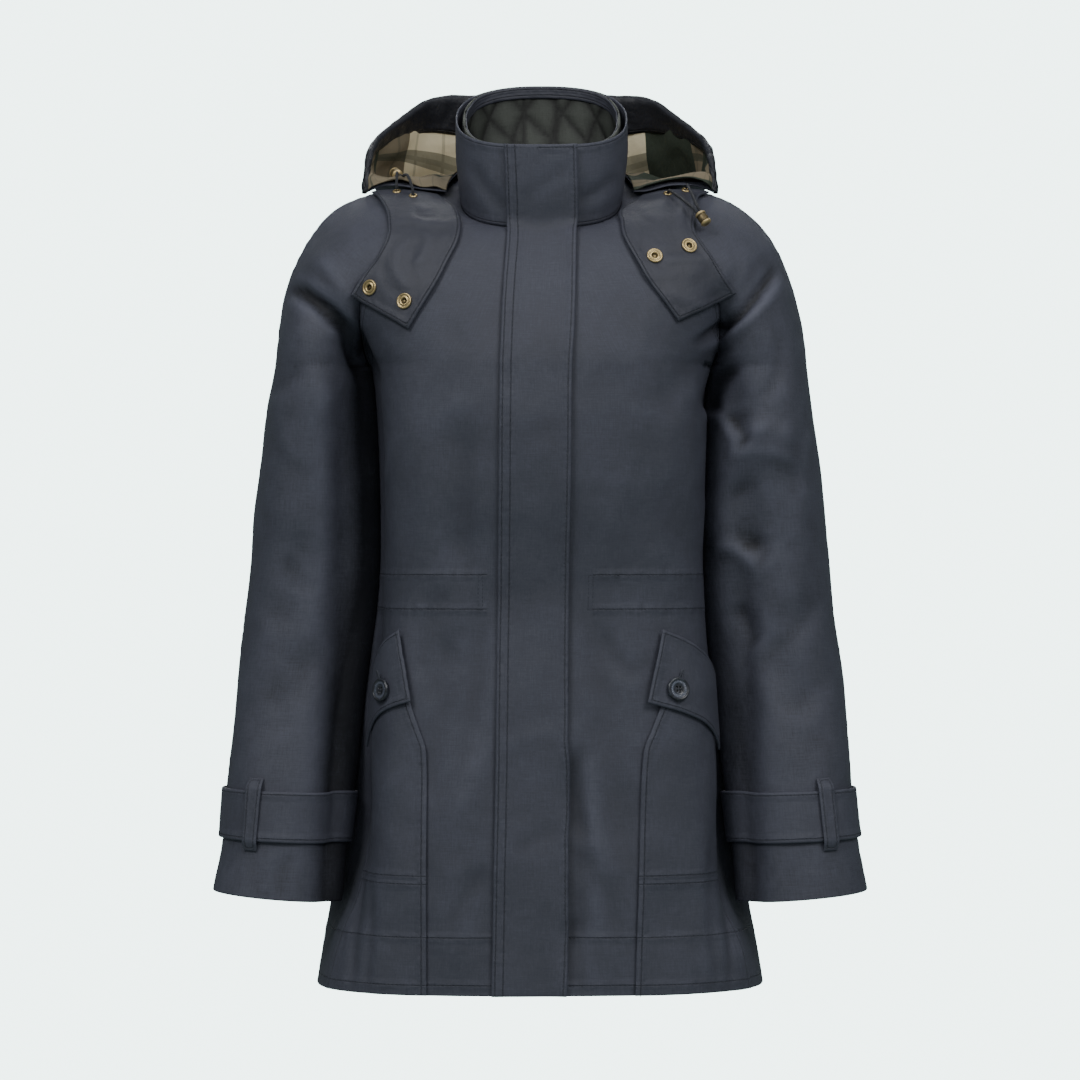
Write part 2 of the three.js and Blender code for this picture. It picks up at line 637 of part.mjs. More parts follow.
const BAND = { top: -523, bottom: -567 };
const LOOP = { top: -512, bottom: -575, from: 0.6, to: 0.68 };
const LOOP_ROWS = 8;
const sleeveAt = (sideName, angle, z) => {
  const v = 1 + (UNDERARM_Z - z) / (UNDERARM_Z - PANELS.sleeveFront.end);
  return angle <= 1
    ? panelPoint("sleeveFront", sideName, angle, v)
    : panelPoint("sleeveBack", sideName, 2 - angle, v);
};
for (const [sideName, side] of Object.entries(SIDES)) {
  const centre = new THREE.Vector3(side * 230, -25, 0);
  const fromArm = (p) => new THREE.Vector3(p.x - centre.x, p.y - centre.y, 0);
  const onSleeve = (angle, z) => sleeveAt(sideName, angle, z);
  const bandGrid = gridOf(onSleeve, steps(0, 2, 28).slice(0, -1), steps(BAND.top, BAND.bottom, 3));
  const bandNormals = normalsOf(bandGrid, fromArm, true);
  add(
    `cuff_strap_${sideName}`,
    layered(moved(bandGrid, bandNormals, LYING), moved(bandGrid, bandNormals, LYING + DOUBLED), true),
    "waxed",
  );
  const loopGrid = gridOf(onSleeve, steps(LOOP.from, LOOP.to, 2), steps(LOOP.top, LOOP.bottom, LOOP_ROWS));
  const loopNormals = normalsOf(loopGrid, fromArm);
  // The loop lies on the sleeve at both ends and steps up over the band between them.
  const rise = (i) => LYING + (DOUBLED + LYING + 0.3) * Math.min(1, i, LOOP_ROWS - i);
  const raised = (extra) =>
    loopGrid.map((line, i) =>
      line.map((p, j) => p.clone().addScaledVector(loopNormals[i][j], rise(i) + extra)),
    );
  add(`cuff_loop_${sideName}`, layered(raised(0), raised(CLOTH)), "waxed");
}

// Hood, folded back behind the neck. Each row of the table is a section from the collar (base)
// through the hanging bag to the rim, for one share of the way from the middle to the end.

const HOOD = table(
  ["share", "bx", "by", "bz", "ix", "iy", "iz", "lx", "ly", "lz", "ox", "oy", "oz", "rx", "ry", "rz"],
  [
    [0, 0, 67, 50, 0, 100, -10, 0, 127, -125, 0, 168, -40, 0, 146, 114],
    [0.15, 34, 65, 49, 42, 98, -8, 52, 125, -112, 58, 160, -35, 52, 138, 113],
    [0.3, 58, 54, 46, 74, 90, 4, 92, 118, -72, 108, 133, -8, 98, 115, 108],
    [0.45, 72, 40, 38, 92, 76, 18, 118, 98, -20, 138, 98, 18, 124, 85, 88],
    [0.6, 80, 22, 29, 100, 50, 26, 126, 66, 14, 153, 58, 30, 148, 45, 62],
    [0.8, 83, 0, 20, 102, 6, 22, 126, 12, 23, 152, 12, 25, 155, 10, 34],
    [1, 84, -12, 13, 100, -8, 15, 120, -2, 19, 140, 3, 19, 158, 4, 12],
  ],
);
const HOOD_KNOTS = ["b", "i", "l", "o", "r"];
function hoodPoint(s, t) {
  const row = rowAt(HOOD, "share", Math.abs(s));
  const knots = HOOD_KNOTS.map((k, i) => ({ at: i / 4, x: row[k + "x"], y: row[k + "y"], z: row[k + "z"] }));
  const { x, y, z } = rowAt(knots, "at", t);
  return new THREE.Vector3(Math.sign(s) * x, y, z);
}
const hoodColumns = steps(-1, 1, 22);
const HOOD_CLEAR = 4.2;
const hoodGrid = gridOf((s, t) => lifted(hoodPoint(s, t), HOOD_CLEAR), hoodColumns, steps(0, 1, 10));
const intoHood = (p) => p.clone().sub(new THREE.Vector3(0, 100, 60));
const hoodNormals = normalsOf(hoodGrid, intoHood);
add("hood_lining", over(hoodGrid, hoodNormals, 0, 1.2), "lining");
add("hood_shell", over(hoodGrid, hoodNormals, 1.6, CLOTH), "waxed");
const rimGrid = gridOf((s, t) => lifted(hoodPoint(s, t), HOOD_CLEAR), hoodColumns, [0.94, 0.97, 1]);
const rimNormals = normalsOf(rimGrid, intoHood);
add("hood_rim", over(rimGrid, rimNormals, -1 - 1.8, 1.8), "waxed");

// Throat tabs: the hood's front corners, folded out over the shoulders and chest

const TABS = {
  right: table(
    ["x1", "z1", "x2", "z2"],
    [
      [-145, 4, -76, -7],
      [-137, -10, -70, -23],
      [-134, -24, -71, -39],
      [-135, -37, -79, -56],
      [-143, -53, -87, -73],
      [-155, -69, -96, -89],
      [-167, -86, -114, -118],
    ],
  ),
  left: table(
    ["x1", "z1", "x2", "z2"],
    [
      [71, -11, 142, 5],
      [71, -22, 139, -13],
      [72, -34, 136, -28],
      [78, -47, 144, -42],
      [86, -62, 153, -56],
      [95, -78, 162, -70],
      [120, -111, 173, -84],
    ],
  ),
};
const TAB_CLEAR = 1.15;
const tabs = {};
for (const [sideName, rows] of Object.entries(TABS)) {
  const flat = rows.map(({ x1, z1, x2, z2 }) =>
    steps(0, 1, 6).map((share) => draped(mix(x1, x2, share), mix(z1, z2, share), TAB_CLEAR)),
  );
  const hoodEnd = hoodGrid.map((line) => line.at(sideName === "right" ? 0 : -1)).slice(1);
  const curve = new THREE.CatmullRomCurve3(sideName === "right" ? [...hoodEnd].reverse() : hoodEnd);
  flat.unshift(
    steps(sideName === "right" ? 0.02 : 0.08, sideName === "right" ? 0.92 : 0.98, 6).map((share) => {
      const p = curve.getPoint(share);
      p.y -= 4.2;
      const [q, n] = nearest(p);
      return p.addScaledVector(n, TAB_CLEAR - p.clone().sub(q).dot(n));
    }),
  );
  const soft = flat.map((line, i) =>
    line.map((p, j) => {
      if (!i) return p;
      const around = [flat[i - 1]?.[j], flat[i + 1]?.[j], line[j - 1], line[j + 1]].filter(Boolean);
      const mean = around.reduce((sum, q) => sum + q.y, 0) / around.length;
      return lifted(new THREE.Vector3(p.x, mix(p.y, mean, 0.5), p.z), TAB_CLEAR + (i > 5 ? 0.9 : 0));
    }),
  );
  const normals = normalsOf(soft, forwards);
  add(`throat_tab_${sideName}`, over(soft, normals, 0, DOUBLED), "waxed");
  tabs[sideName] = { grid: moved(soft, normals, DOUBLED), normals };
}

// Small round pieces

// A closed body through rings of points, ending in a point at both ends.
function throughRings(start, rings, end) {
  const count = rings[0].length;
  const points = [start, ...rings.flat(), end];
  const last = points.length - 1;
  const faces = [];
  const at = (i, j) => 1 + i * count + (j % count);
  for (let j = 0; j < count; j += 1) {
    faces.push(0, at(0, j + 1), at(0, j), last, at(rings.length - 1, j), at(rings.length - 1, j + 1));
    for (let i = 0; i < rings.length - 1; i += 1)
      faces.push(at(i, j), at(i, j + 1), at(i + 1, j + 1), at(i, j), at(i + 1, j + 1), at(i + 1, j));
  }
  const geometry = new THREE.BufferGeometry();
  geometry.setAttribute("position", new THREE.Float32BufferAttribute(points.flatMap((p) => p.toArray()), 3));
  geometry.setIndex(faces);
  return geometry;
}

// A turned body: its profile is [radius, height] pairs from the bottom up, its axis is n at p.
function turned(profile, p, n, segments = 14) {
  const basis = new THREE.Matrix4().lookAt(n, new THREE.Vector3(), new THREE.Vector3(0, 0, 1)).setPosition(p);
  const ring = ([radius, height]) =>
    steps(0, 2 * Math.PI, segments).slice(0, -1).map((a) =>
      new THREE.Vector3(radius * Math.cos(a), radius * Math.sin(a), height).applyMatrix4(basis),
    );
  const end = (height) => new THREE.Vector3(0, 0, height).applyMatrix4(basis);
  return throughRings(end(profile[0][1]), profile.map(ring), end(profile.at(-1)[1]));
}

// A round cord along a smooth line through the given points.
function cordAlong(points, diameter, count) {
  const curve = new THREE.CatmullRomCurve3(points);
  const frames = curve.computeFrenetFrames(count, false);
  const centres = curve.getSpacedPoints(count);
  const ring = (centre, i) =>
    steps(0, 2 * Math.PI, 10).slice(0, -1).map((a) =>
      centre.clone()
        .addScaledVector(frames.normals[i], (diameter / 2) * Math.cos(a))
        .addScaledVector(frames.binormals[i], (diameter / 2) * Math.sin(a)),
    );
  return throughRings(centres[0], centres.map(ring), centres.at(-1));
}

// The place on a grid's surface seen from the front at x and z, with its normal.
function onGrid({ grid, normals }, x, z) {
  let best = { miss: Infinity };
  for (let i = 0; i < grid.length - 1; i += 1)
    for (let j = 0; j < grid[0].length - 1; j += 1)
      for (const [a, b] of steps(0, 1, 8).flatMap((a) => steps(0, 1, 8).map((b) => [a, b]))) {
        const along = (line) => line[j].clone().lerp(line[j + 1], b);
        const blend = (g) => along(g[i]).lerp(along(g[i + 1]), a);
        const p = blend(grid);
        const miss = Math.hypot(p.x - x, p.z - z);
        if (miss < best.miss) best = { miss, p, n: blend(normals).normalize() };
      }
  return best;
}

const SNAP_PROFILE = [[3, 0], [6.2, 0.2], [7, 1], [6.8, 1.8], [5.6, 2.2], [4.6, 1.7], [3.4, 1.9], [1.8, 2.2]];
const BUTTON_PROFILE = [
  [7, 0], [9.6, 0.8], [10.5, 2], [10.3, 3.2],
  [9.2, 3.9], [7.6, 3.3], [5, 2.7], [2, 2.6],
];
const SNAPS = {
  snap_right_upper: ["right", -149, -79],
  snap_right_lower: ["right", -118, -93],
  snap_left_inner: ["left", 100, -54],
  snap_left_outer: ["left", 131, -43],
};
for (const [name, [sideName, x, z]] of Object.entries(SNAPS)) {
  const { p, n } = onGrid(tabs[sideName], x, z);
  add(name, turned(SNAP_PROFILE, p.addScaledVector(n, 0.7), n), "brass");
}
const EYELETS = {
  eyelet_right_outer: ["right", -129, 12],
  eyelet_right_inner: ["right", -114, 5],
  eyelet_left_inner: ["left", 115, 8],
  eyelet_left_outer: ["left", 131, 14],
};
const eyeletAt = {};
for (const [name, [sideName, x, z]] of Object.entries(EYELETS)) {
  const { p, n } = onGrid(tabs[sideName], x, z);
  const ring = new THREE.TorusGeometry(2.8, 0.9, 5, 12);
  ring.applyMatrix4(new THREE.Matrix4().lookAt(n, new THREE.Vector3(), new THREE.Vector3(0, 0, 1)));
  const place = p.addScaledVector(n, 1.4);
  ring.translate(place.x, place.y, place.z);
  eyeletAt[name] = { p: place, n };
  add(name, ring, "brass");
}

// Drawcord of the hood: two strands from the eyelets to a cord lock on each side
const CORD = 2.6;
const LOCK_PROFILE = [[2.6, -6.5], [4.4, -5.9], [5, -4.6], [5, 4.6], [4.4, 5.9], [2.6, 6.5]];
const LOCKS = {
  right: {
    at: [-130, 15, 29.5],
    axis: [0.3, -0.9, -0.3],
    arch: 8.5,
    from: ["eyelet_right_outer", "eyelet_right_inner"],
  },
  left: {
    at: draped(144, -18, 10.5).toArray(),
    axis: [-0.5, 0.35, 0.75],
    arch: 1.5,
    from: ["eyelet_left_inner", "eyelet_left_outer"],
  },
};
for (const [sideName, { at, axis, arch, from }] of Object.entries(LOCKS)) {
  const place = new THREE.Vector3(...at);
  const along = new THREE.Vector3(...axis).normalize();
  add(`cord_lock_${sideName}`, turned(LOCK_PROFILE, place, along), "horn");
  const across = along.clone().cross(eyeletAt[from[0]].n).normalize();
  const order = Math.sign(eyeletAt[from[1]].p.clone().sub(eyeletAt[from[0]].p).dot(across));
  from.forEach((name, i) => {
    const { p, n } = eyeletAt[name];
    const side = across.clone().multiplyScalar(order * (i ? 2 : -2));
    const start = p.clone().addScaledVector(n, -0.5);
    const above = p.clone().addScaledVector(n, 2.5);
    const end = place.clone().addScaledVector(along, 6.9).add(side);
    const before = end.clone().addScaledVector(along, 4);
    const middle = above.clone().lerp(before, 0.5).addScaledVector(n, arch);
    add(`drawcord_${sideName}_${i + 1}`, cordAlong([start, above, middle, before, end], CORD, 9), "cord");
  });
}

// Buttons of the pocket flaps and a small stud by the side
const BUTTONS = { right: [-139, -433.6], left: [119.6, -431.6] };
for (const [sideName, [x, z]] of Object.entries(BUTTONS)) {
  const { p, n } = onGrid(flapGrids[sideName], x, z);
  add(`button_${sideName}`, turned(BUTTON_PROFILE, p.addScaledVector(n, 0.8), n, 20), "horn");
}

const STUD_PROFILE = [[1.2, 0], [2.4, 0.3], [2.8, 1], [2.4, 1.7], [1.2, 2]];
const studPlace = onFront("left", 0.76, -494);
const studNormal = nearest(studPlace)[1];
add("side_stud", turned(STUD_PROFILE, studPlace.addScaledVector(studNormal, 0.8), studNormal), "nickel");

export default group;
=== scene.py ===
# Waxed cotton jacket: cloth shells, seams, stitching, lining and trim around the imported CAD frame.
# It is laid out as an add-on and run as a script. Tables and shapes are in millimetres, as a
# pattern maker writes them, and new_piece turns them into metres. The front faces -Y, and the
# wearer's right side is at -X.
import math

import bmesh
import bpy
import numpy as np
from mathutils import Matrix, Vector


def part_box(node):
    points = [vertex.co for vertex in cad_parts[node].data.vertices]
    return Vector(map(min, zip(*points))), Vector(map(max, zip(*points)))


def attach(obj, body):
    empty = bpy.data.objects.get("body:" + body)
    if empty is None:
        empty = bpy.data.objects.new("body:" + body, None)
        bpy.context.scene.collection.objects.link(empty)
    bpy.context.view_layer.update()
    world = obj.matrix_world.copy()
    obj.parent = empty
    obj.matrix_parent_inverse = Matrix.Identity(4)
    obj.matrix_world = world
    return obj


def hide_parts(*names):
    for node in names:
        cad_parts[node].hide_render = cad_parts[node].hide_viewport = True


bl_info = {
    "name": "Waxed Cotton Jacket",
    "version": (1, 0, 0),
    "blender": (4, 5, 0),
    "location": "View3D > Sidebar > Jacket",
    "description": "Builds a waxed cotton jacket with a folded-back hood, piece by piece",
    "category": "Object",
}

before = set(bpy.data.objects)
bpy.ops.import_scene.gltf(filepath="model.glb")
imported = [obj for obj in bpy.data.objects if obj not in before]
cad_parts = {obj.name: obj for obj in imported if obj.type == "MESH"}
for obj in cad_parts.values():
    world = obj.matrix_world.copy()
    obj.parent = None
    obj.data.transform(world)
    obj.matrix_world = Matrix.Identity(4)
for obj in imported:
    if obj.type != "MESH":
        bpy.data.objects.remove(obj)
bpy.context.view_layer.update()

MM = 0.001
FAR = 99.0
CLOTH = 1.6
DOUBLED = 2.4
SEAM = 0.3
SEAM_LAP = 0.1
LYING = 0.7

UNDERARM = -146.0
HEM = -696.0
CUFF = -616.0
BODY_SQUARENESS = 2.8
SLEEVE_SQUARENESS = 2.15
RING_SQUARENESS = 2.4
RING_RISE = 1.2
DENT_HALF_WIDTH = 40.0
LEAN_TOP, LEAN_HEM = 2.0, -10.0

# Body sections: height, half-width, depth of front and back, depth of the hollow in the side,
# and how far in front of the side seam the hollow is.
BODY = np.array([
    [-146, 152, 121, 108, 0, 0], [-165, 153, 122, 107, 4, 0], [-200, 154, 124, 106, 8, -1],
    [-260, 151.5, 119, 100, 8, -2], [-320, 151, 109, 94, 8, -3], [-355, 153, 105, 94, 8, -2],
    [-400, 159.5, 108, 101, 8, 1], [-445, 167, 113, 108, 8.5, 8], [-490, 173, 117, 114, 10, 18],
    [-535, 178, 120, 119, 12, 28], [-580, 184, 123, 124, 12, 36], [-616, 189, 125, 128, 10, 42],
    [-650, 194, 126, 131, 3, 44], [-696, 200, 128, 135, 0, 44],
], float)

# Sleeve sections: height, outer reach, clearance from the body, middle and half of the depth,
# and how far the section tips up outwards.
SLEEVE = np.array([
    [-146, 239, 1.4, 0, 66, 0], [-178, 244, 1.6, 0, 68, 0.01], [-220, 249.5, 1.4, 2, 68, 0.02],
    [-265, 254.7, 1.4, 3, 66, 0.03], [-310, 259, 1.6, 4, 63, 0.03], [-355, 264, 1.6, 3, 61, 0.03],
    [-400, 268.5, 1.6, -1, 59, 0.03], [-445, 273, 2, -8, 57, 0.03], [-490, 276.5, 4, -18, 55, 0.03],
    [-535, 280, 7.5, -28, 53, 0.03], [-580, 284, 7.5, -37, 51.5, 0.05], [-616, 290, 5, -43, 51, 0.09],
], float)

# Lines from the neck seam to the underarm level: the two inner control points of each cubic.
LINES = {
    "centreFront": ([0, -84, -48], [0, -117, -108]),
    "chest": ([-84, -92, -34], [-100, -114, -112]),
    "frontSeam": ([-165, -78, -14], [-170, -94, -118]),
    "armFront": ([-180, -40, 12], [-206, -76, -86]),
    "overArm": ([-178, 8, 26], [-230, 0, -10]),
    "armBack": ([-175, 52, 16], [-208, 80, -82]),
    "backSeam": ([-148, 88, 10], [-160, 92, -128]),
    "blade": ([-80, 96, 18], [-100, 114, -70]),
    "centreBack": ([0, 86, 22], [0, 113, -62]),
}

# Neck seam and collar edge: half-width, reach to front and back, height at front and back.
NECK = (72, 66, 58, -26, 44)
COLLAR_EDGE = (77, 76, 63, 46, 115)

# Shell panels: lines from u = 0 to 1, seam angles on the neck, face, and lower end.
PANELS = {
    "front": (("centreFront", "chest", "frontSeam"), (0, 46), -1, HEM),
    "back": (("centreBack", "blade", "backSeam"), (180, 138), 1, HEM),
    "sleeve_front": (("frontSeam", "armFront", "overArm"), (46, 100), -1, CUFF),
    "sleeve_back": (("backSeam", "armBack", "overArm"), (138, 100), 1, CUFF),
}
SIDES = {"right": -1, "left": 1}

# Large folds, the same as the CAD's: face, from x, z to x, z, half-width, depth (ridges below 0).
FOLDS = [
    (-1, -212, -72, -158, -138, 13, 7), (-1, -200, -45, -155, -112, 11, -4),
    (-1, -222, -110, -180, -190, 16, -3), (-1, -206, -300, -232, -380, 18, 4),
    (-1, -190, -400, -240, -450, 20, 3), (-1, 210, -50, 152, -112, 12, 6),
    (-1, 160, -150, 182, -200, 13, 7), (-1, 176, -205, 226, -214, 14, -4),
    (-1, 180, -245, 192, -310, 14, 6), (-1, 232, -260, 222, -360, 18, -4),
    (-1, 200, -400, 240, -450, 18, 3), (-1, -74, -200, -68, -320, 20, 4),
    (-1, -70, -385, -92, -520, 20, 5), (-1, -60, -480, -62, -660, 22, -3),
    (-1, 48, -380, 78, -560, 18, 4), (-1, 34, -500, 42, -660, 14, 5),
    (-1, 100, -160, 96, -290, 26, 3), (1, -60, -120, -95, -260, 26, 4),
    (1, 55, -140, 85, -300, 24, 4), (1, 0, -350, -20, -600, 26, 5),
    (1, 90, -380, 110, -640, 26, 4), (1, -100, -380, -125, -640, 28, 4),
    (1, -215, -80, -170, -150, 14, 5), (1, 215, -80, 168, -160, 14, 5),
    (1, -200, -290, -235, -340, 16, 4), (1, 200, -300, 240, -345, 16, 4),
]

# Finer creases, seen from the front or back: face, from x, z to x, z, sideways bow, half-width,
# and depth (ridges below 0).
CREASES = [
    # Wearer's right sleeve: the deep one into the armpit, the ridge under it, and the inner side.
    (-1, -217, -78, -153, -152, -9, 6, 8), (-1, -184, -116, -150, -146, -5, 5, -2),
    (-1, -196, -62, -160, -104, 4, 6, 1.5), (-1, -164, -150, -168, -640, 0, 24, 16),
    (-1, -231, -172, -220, -226, 5, 8, -1.2), (-1, -246, -168, -214, -150, 4, 8, 1),
    (-1, -226, -318, -196, -342, 5, 9, 0.9), (-1, -214, -236, -206, -300, -5, 12, 1.2),
    (-1, -240, -392, -206, -420, -5, 11, 1), (-1, -252, -300, -236, -372, 6, 11, 0.9),
    (-1, -262, -440, -226, -470, 5, 11, 0.9), (-1, -218, -578, -226, -612, 4, 7, 1),
    # Wearer's left sleeve: the armpit fold, the bowed ridge at the upper arm, and the inner side.
    (-1, 206, -66, 143, -126, -5, 5, 7), (-1, 176, -58, 150, -92, -4, 6, 1.4),
    (-1, 170, -148, 150, -188, 4, 9, 5), (-1, 163, -192, 180, -218, -4, 9, 3.2),
    (-1, 148, -186, 172, -226, -7, 5, -2.2), (-1, 172, -226, 224, -231, -4, 7, -2),
    (-1, 198, -176, 212, -118, 6, 8, 1.6), (-1, 172, -256, 184, -306, 5, 11, 3.6),
    (-1, 184, -304, 198, -322, -4, 9, 1.8), (-1, 158, -306, 190, -330, -5, 7, -1.6),
    (-1, 168, -362, 188, -394, -4, 10, 2.4), (-1, 176, -330, 172, -640, 0, 20, 12),
    (-1, 239, -206, 236, -262, 4, 6, -1.2), (-1, 222, -84, 236, -116, -4, 7, 1),
    (-1, 214, -300, 238, -372, -6, 11, 1), (-1, 206, -398, 246, -352, 5, 10, 1),
    (-1, 212, -446, 252, -420, 5, 11, 0.9),
    # Fronts: by the side seams, under the yoke, and the long folds below the waist.
    (-1, -124, -208, -140, -250, 3, 8, -1), (-1, -62, -214, -66, -336, 3, 11, 1.6),
    (-1, -85, -348, -102, -420, 4, 10, 1.8), (-1, -53, -366, -75, -512, -5, 11, 2.2),
    (-1, -82, -386, -99, -440, -3, 9, 1.2), (-1, -49, -588, -77, -642, 4, 10, 1.8),
    (-1, -62, -520, -84, -596, 5, 12, -1), (-1, -158, -500, -162, -692, 3, 5, 2),
    (-1, -150, -596, -150, -690, -3, 5, 1.4), (-1, 30, -486, 37, -560, 4, 7, 3),
    (-1, 27, -632, 34, -690, 4, 7, 2.4), (-1, 38, -572, 66, -640, -5, 10, 1.4),
    (-1, 44, -500, 62, -600, 6, 12, -1.2), (-1, 56, -384, 86, -420, 5, 9, 1.4),
    (-1, 34, -372, 52, -460, 4, 11, -1.2), (-1, 161, -484, 164, -690, -3, 5, 2),
    (-1, 150, -560, 152, -690, 3, 5, 1.2), (-1, 60, -150, 80, -240, 6, 18, 1.2),
    (-1, -70, -112, -98, -196, -6, 16, 1.3), (-1, 132, -150, 110, -190, 5, 12, 1.2),
    (-1, 112, -250, 132, -318, 4, 13, 1),
    # Back: from the armholes inwards, over the shoulder blades, and below the waist.
    (1, -150, -150, -90, -216, 6, 12, 2.2), (1, 150, -150, 92, -222, -6, 12, 2.2),
    (1, -144, -176, -104, -262, 5, 11, 1.6), (1, 144, -180, 100, -258, -5, 11, 1.6),
    (1, -40, -200, -64, -330, 5, 15, 1.7), (1, 46, -250, 30, -350, 5, 14, 1.7),
    (1, -110, -382, -70, -470, 6, 12, 2), (1, 112, -382, 74, -462, -6, 12, 2),
    (1, 12, -372, 26, -540, 8, 13, 2), (1, -34, -376, -46, -500, 5, 12, 1.6),
    (1, -120, -520, -96, -660, 5, 13, 1.7), (1, 96, -500, 124, -650, -6, 13, 1.7),
    (1, -204, -60, -160, -128, 6, 7, 3.6), (1, 206, -60, 160, -128, -6, 7, 3.6),
    (1, -190, -190, -230, -216, 5, 9, 2.2), (1, 190, -186, 232, -210, -5, 9, 2.2),
    (1, -176, -226, -216, -262, -5, 9, 1.8), (1, 178, -240, 220, -270, 5, 9, 1.8),
    (1, -200, -322, -244, -300, 5, 10, 1.9), (1, 202, -318, 246, -296, -5, 10, 1.9),
    (1, 208, -420, 250, -440, 4, 10, 1.6), (1, -208, -424, -252, -440, -4, 10, 1.6),
]

# Shallow creases of the collar and the storm flap, as seen from the front.
TRIM_CREASES = [
    (-1, -61, 31, -31, -10, 2, 6, 1.6), (-1, 69, 22, 35, -2, -2, 6, 1.6), (-1, 29, 27, -14, -2, 2, 7, 0.8),
    (-1, 12, -470, -30, -482, 2, 8, -0.8), (-1, 20, -554, -20, -573, 3, 8, 0.8),
    (-1, 16, -204, -24, -226, 3, 10, 0.6),
]

# Storm flap edges by place: 0 collar edge, 1 neck seam, 2 underarm level, 3 hem.
FLAP_SIDES = np.array([[0, -31, 31.5], [1, -29, 32.5], [1.6, -33, 31], [2.4, -37, 25], [3, -42, 23]], float)

# Pocket's front edge by height, and the flaps: share, top and bottom.
POCKET = np.array([[-398, 118], [-440, 110], [-466, 101], [-486, 94], [-560, 92], [-694, 90]], float)
POCKET_STRAIGHT = -503.5
POCKET_REAR = 0.71
POCKET_FLAPS = {
    "right": (118, np.array([[0, -381, -443], [0.33, -391, -451], [0.66, -405, -464], [1, -420, -484]], float)),
    "left": (107, np.array([[0, -380, -444], [0.33, -389, -453], [0.66, -401, -466], [1, -419, -487]], float)),
}
FLAP_REAR = 0.77
POCKET_THICKNESS = 2.2

BAND = (-523, -567)
LOOP = (-512, -575, 0.6, 0.68)

# Hood sections from the middle to the end: share, then base, inner, low, outer and rim points.
HOOD = np.array([
    [0, 0, 67, 50, 0, 100, -10, 0, 127, -125, 0, 168, -40, 0, 146, 114],
    [0.15, 34, 65, 49, 42, 98, -8, 52, 125, -112, 58, 160, -35, 52, 138, 113],
    [0.3, 58, 54, 46, 74, 90, 4, 92, 118, -72, 108, 133, -8, 98, 115, 108],
    [0.45, 72, 40, 38, 92, 76, 18, 118, 98, -20, 138, 98, 18, 124, 85, 88],
    [0.6, 80, 22, 29, 100, 50, 26, 126, 66, 14, 153, 58, 30, 148, 45, 62],
    [0.8, 83, 0, 20, 102, 6, 22, 126, 12, 23, 152, 12, 25, 155, 10, 34],
    [1, 84, -12, 13, 100, -8, 15, 120, -2, 19, 140, 3, 19, 158, 4, 12],
], float)
HOOD_CLEAR = 4.2

# Throat tabs, row by row from the hood's end to the point: x, z of both ends of the row.
TABS = {
    "right": [
        (-145, 4, -76, -7), (-137, -10, -70, -23), (-134, -24, -71, -39), (-135, -37, -79, -56),
        (-143, -53, -87, -73), (-155, -69, -96, -89), (-167, -86, -114, -118),
    ],
    "left": [
        (71, -11, 142, 5), (71, -22, 139, -13), (72, -34, 136, -28), (78, -47, 144, -42),
        (86, -62, 153, -56), (95, -78, 162, -70), (120, -111, 173, -84),
    ],
}
TAB_CLEAR = 1.15
TAB_CREASES = [
    (-1, -132, -20, -78, -23, 2, 6, -0.9), (-1, -130, -28, -80, -32, -2, 4, 1.2),
    (-1, -114, -44, -110, -78, 4, 5, 1.6), (-1, -112, -12, -80, -20, 3, 4, 1.2),
    (-1, -98, -34, -108, -62, -3, 5, -1.4), (-1, -136, -60, -122, -86, 3, 5, 1.2),
    (-1, 84, -16, 118, -38, 3, 6, 1.6), (-1, 104, -60, 146, -56, -2, 4, -1.1),
    (-1, 90, -34, 112, -66, 4, 6, 1.4), (-1, 118, 0, 104, -40, -3, 5, 1.5),
    (-1, 131, 4, 140, -40, 3, 5, 1.4), (-1, 112, -84, 150, -96, 4, 6, -1.0),
]


def mix(a, b, t):
    """The value a share t of the way from a to b."""
    return a + (b - a) * t


def ease(t):
    """A soft step: 3t^2 - 2t^3 between 0 and 1."""
    t = np.clip(t, 0, 1)
    return t * t * (3 - 2 * t)


def power(value, exponent):
    """The superellipse's power: the value's size to 2 / exponent, with its sign."""
    return np.sign(value) * np.abs(value) ** (2 / exponent)


def unit(vectors):
    """Vectors at length one."""
    return vectors / np.maximum(np.linalg.norm(vectors, axis=-1, keepdims=True), 1e-12)


def hermite(before, a, b, after, step_before, span, step_after, t):
    """A cubic from a to b whose slope at each is that of the line between its neighbours."""
    slope_a = (b - before) / (step_before + span) * span
    slope_b = (after - a) / (step_after + span) * span
    t2, t3 = t * t, t * t * t
    return a * (2 * t3 - 3 * t2 + 1) + slope_a * (t3 - 2 * t2 + t) + b * (3 * t2 - 2 * t3) + slope_b * (t3 - t2)


def table_at(rows, at):
    """Every further column of a table where its first column has the given values, by hermite."""
    rows = rows[np.argsort(rows[:, 0])]
    at = np.asarray(at, float)
    i = np.clip(np.searchsorted(rows[:, 0], at) - 1, 0, len(rows) - 2)
    before, a, b = rows[np.maximum(i - 1, 0)], rows[i], rows[i + 1]
    after = rows[np.minimum(i + 2, len(rows) - 1)]
    span = (b - a)[..., :1]
    t = np.clip((at[..., None] - a[..., :1]) / span, 0, 1)
    found = hermite(before, a, b, after, (a - before)[..., :1], span, (after - b)[..., :1], t)
    return np.moveaxis(found, -1, 0)[1:]


def ring(sizes, degrees):
    """Neck seam or collar edge on the wearer's right: x = -side sin^(2/2.4), y = -reach cos^(2/2.4)
    of the angle from the front, and the height grows with y to the power 1.2."""
    side, front, back, front_z, back_z = sizes
    angle = np.radians(degrees)
    x = -side * power(np.sin(angle), RING_SQUARENESS)
    y = -np.where(degrees < 90, front, back) * power(np.cos(angle), RING_SQUARENESS)
    share = np.clip((y + front) / (front + back), 0, 1)
    return np.stack([x, y, mix(front_z, back_z, share ** RING_RISE)], -1)


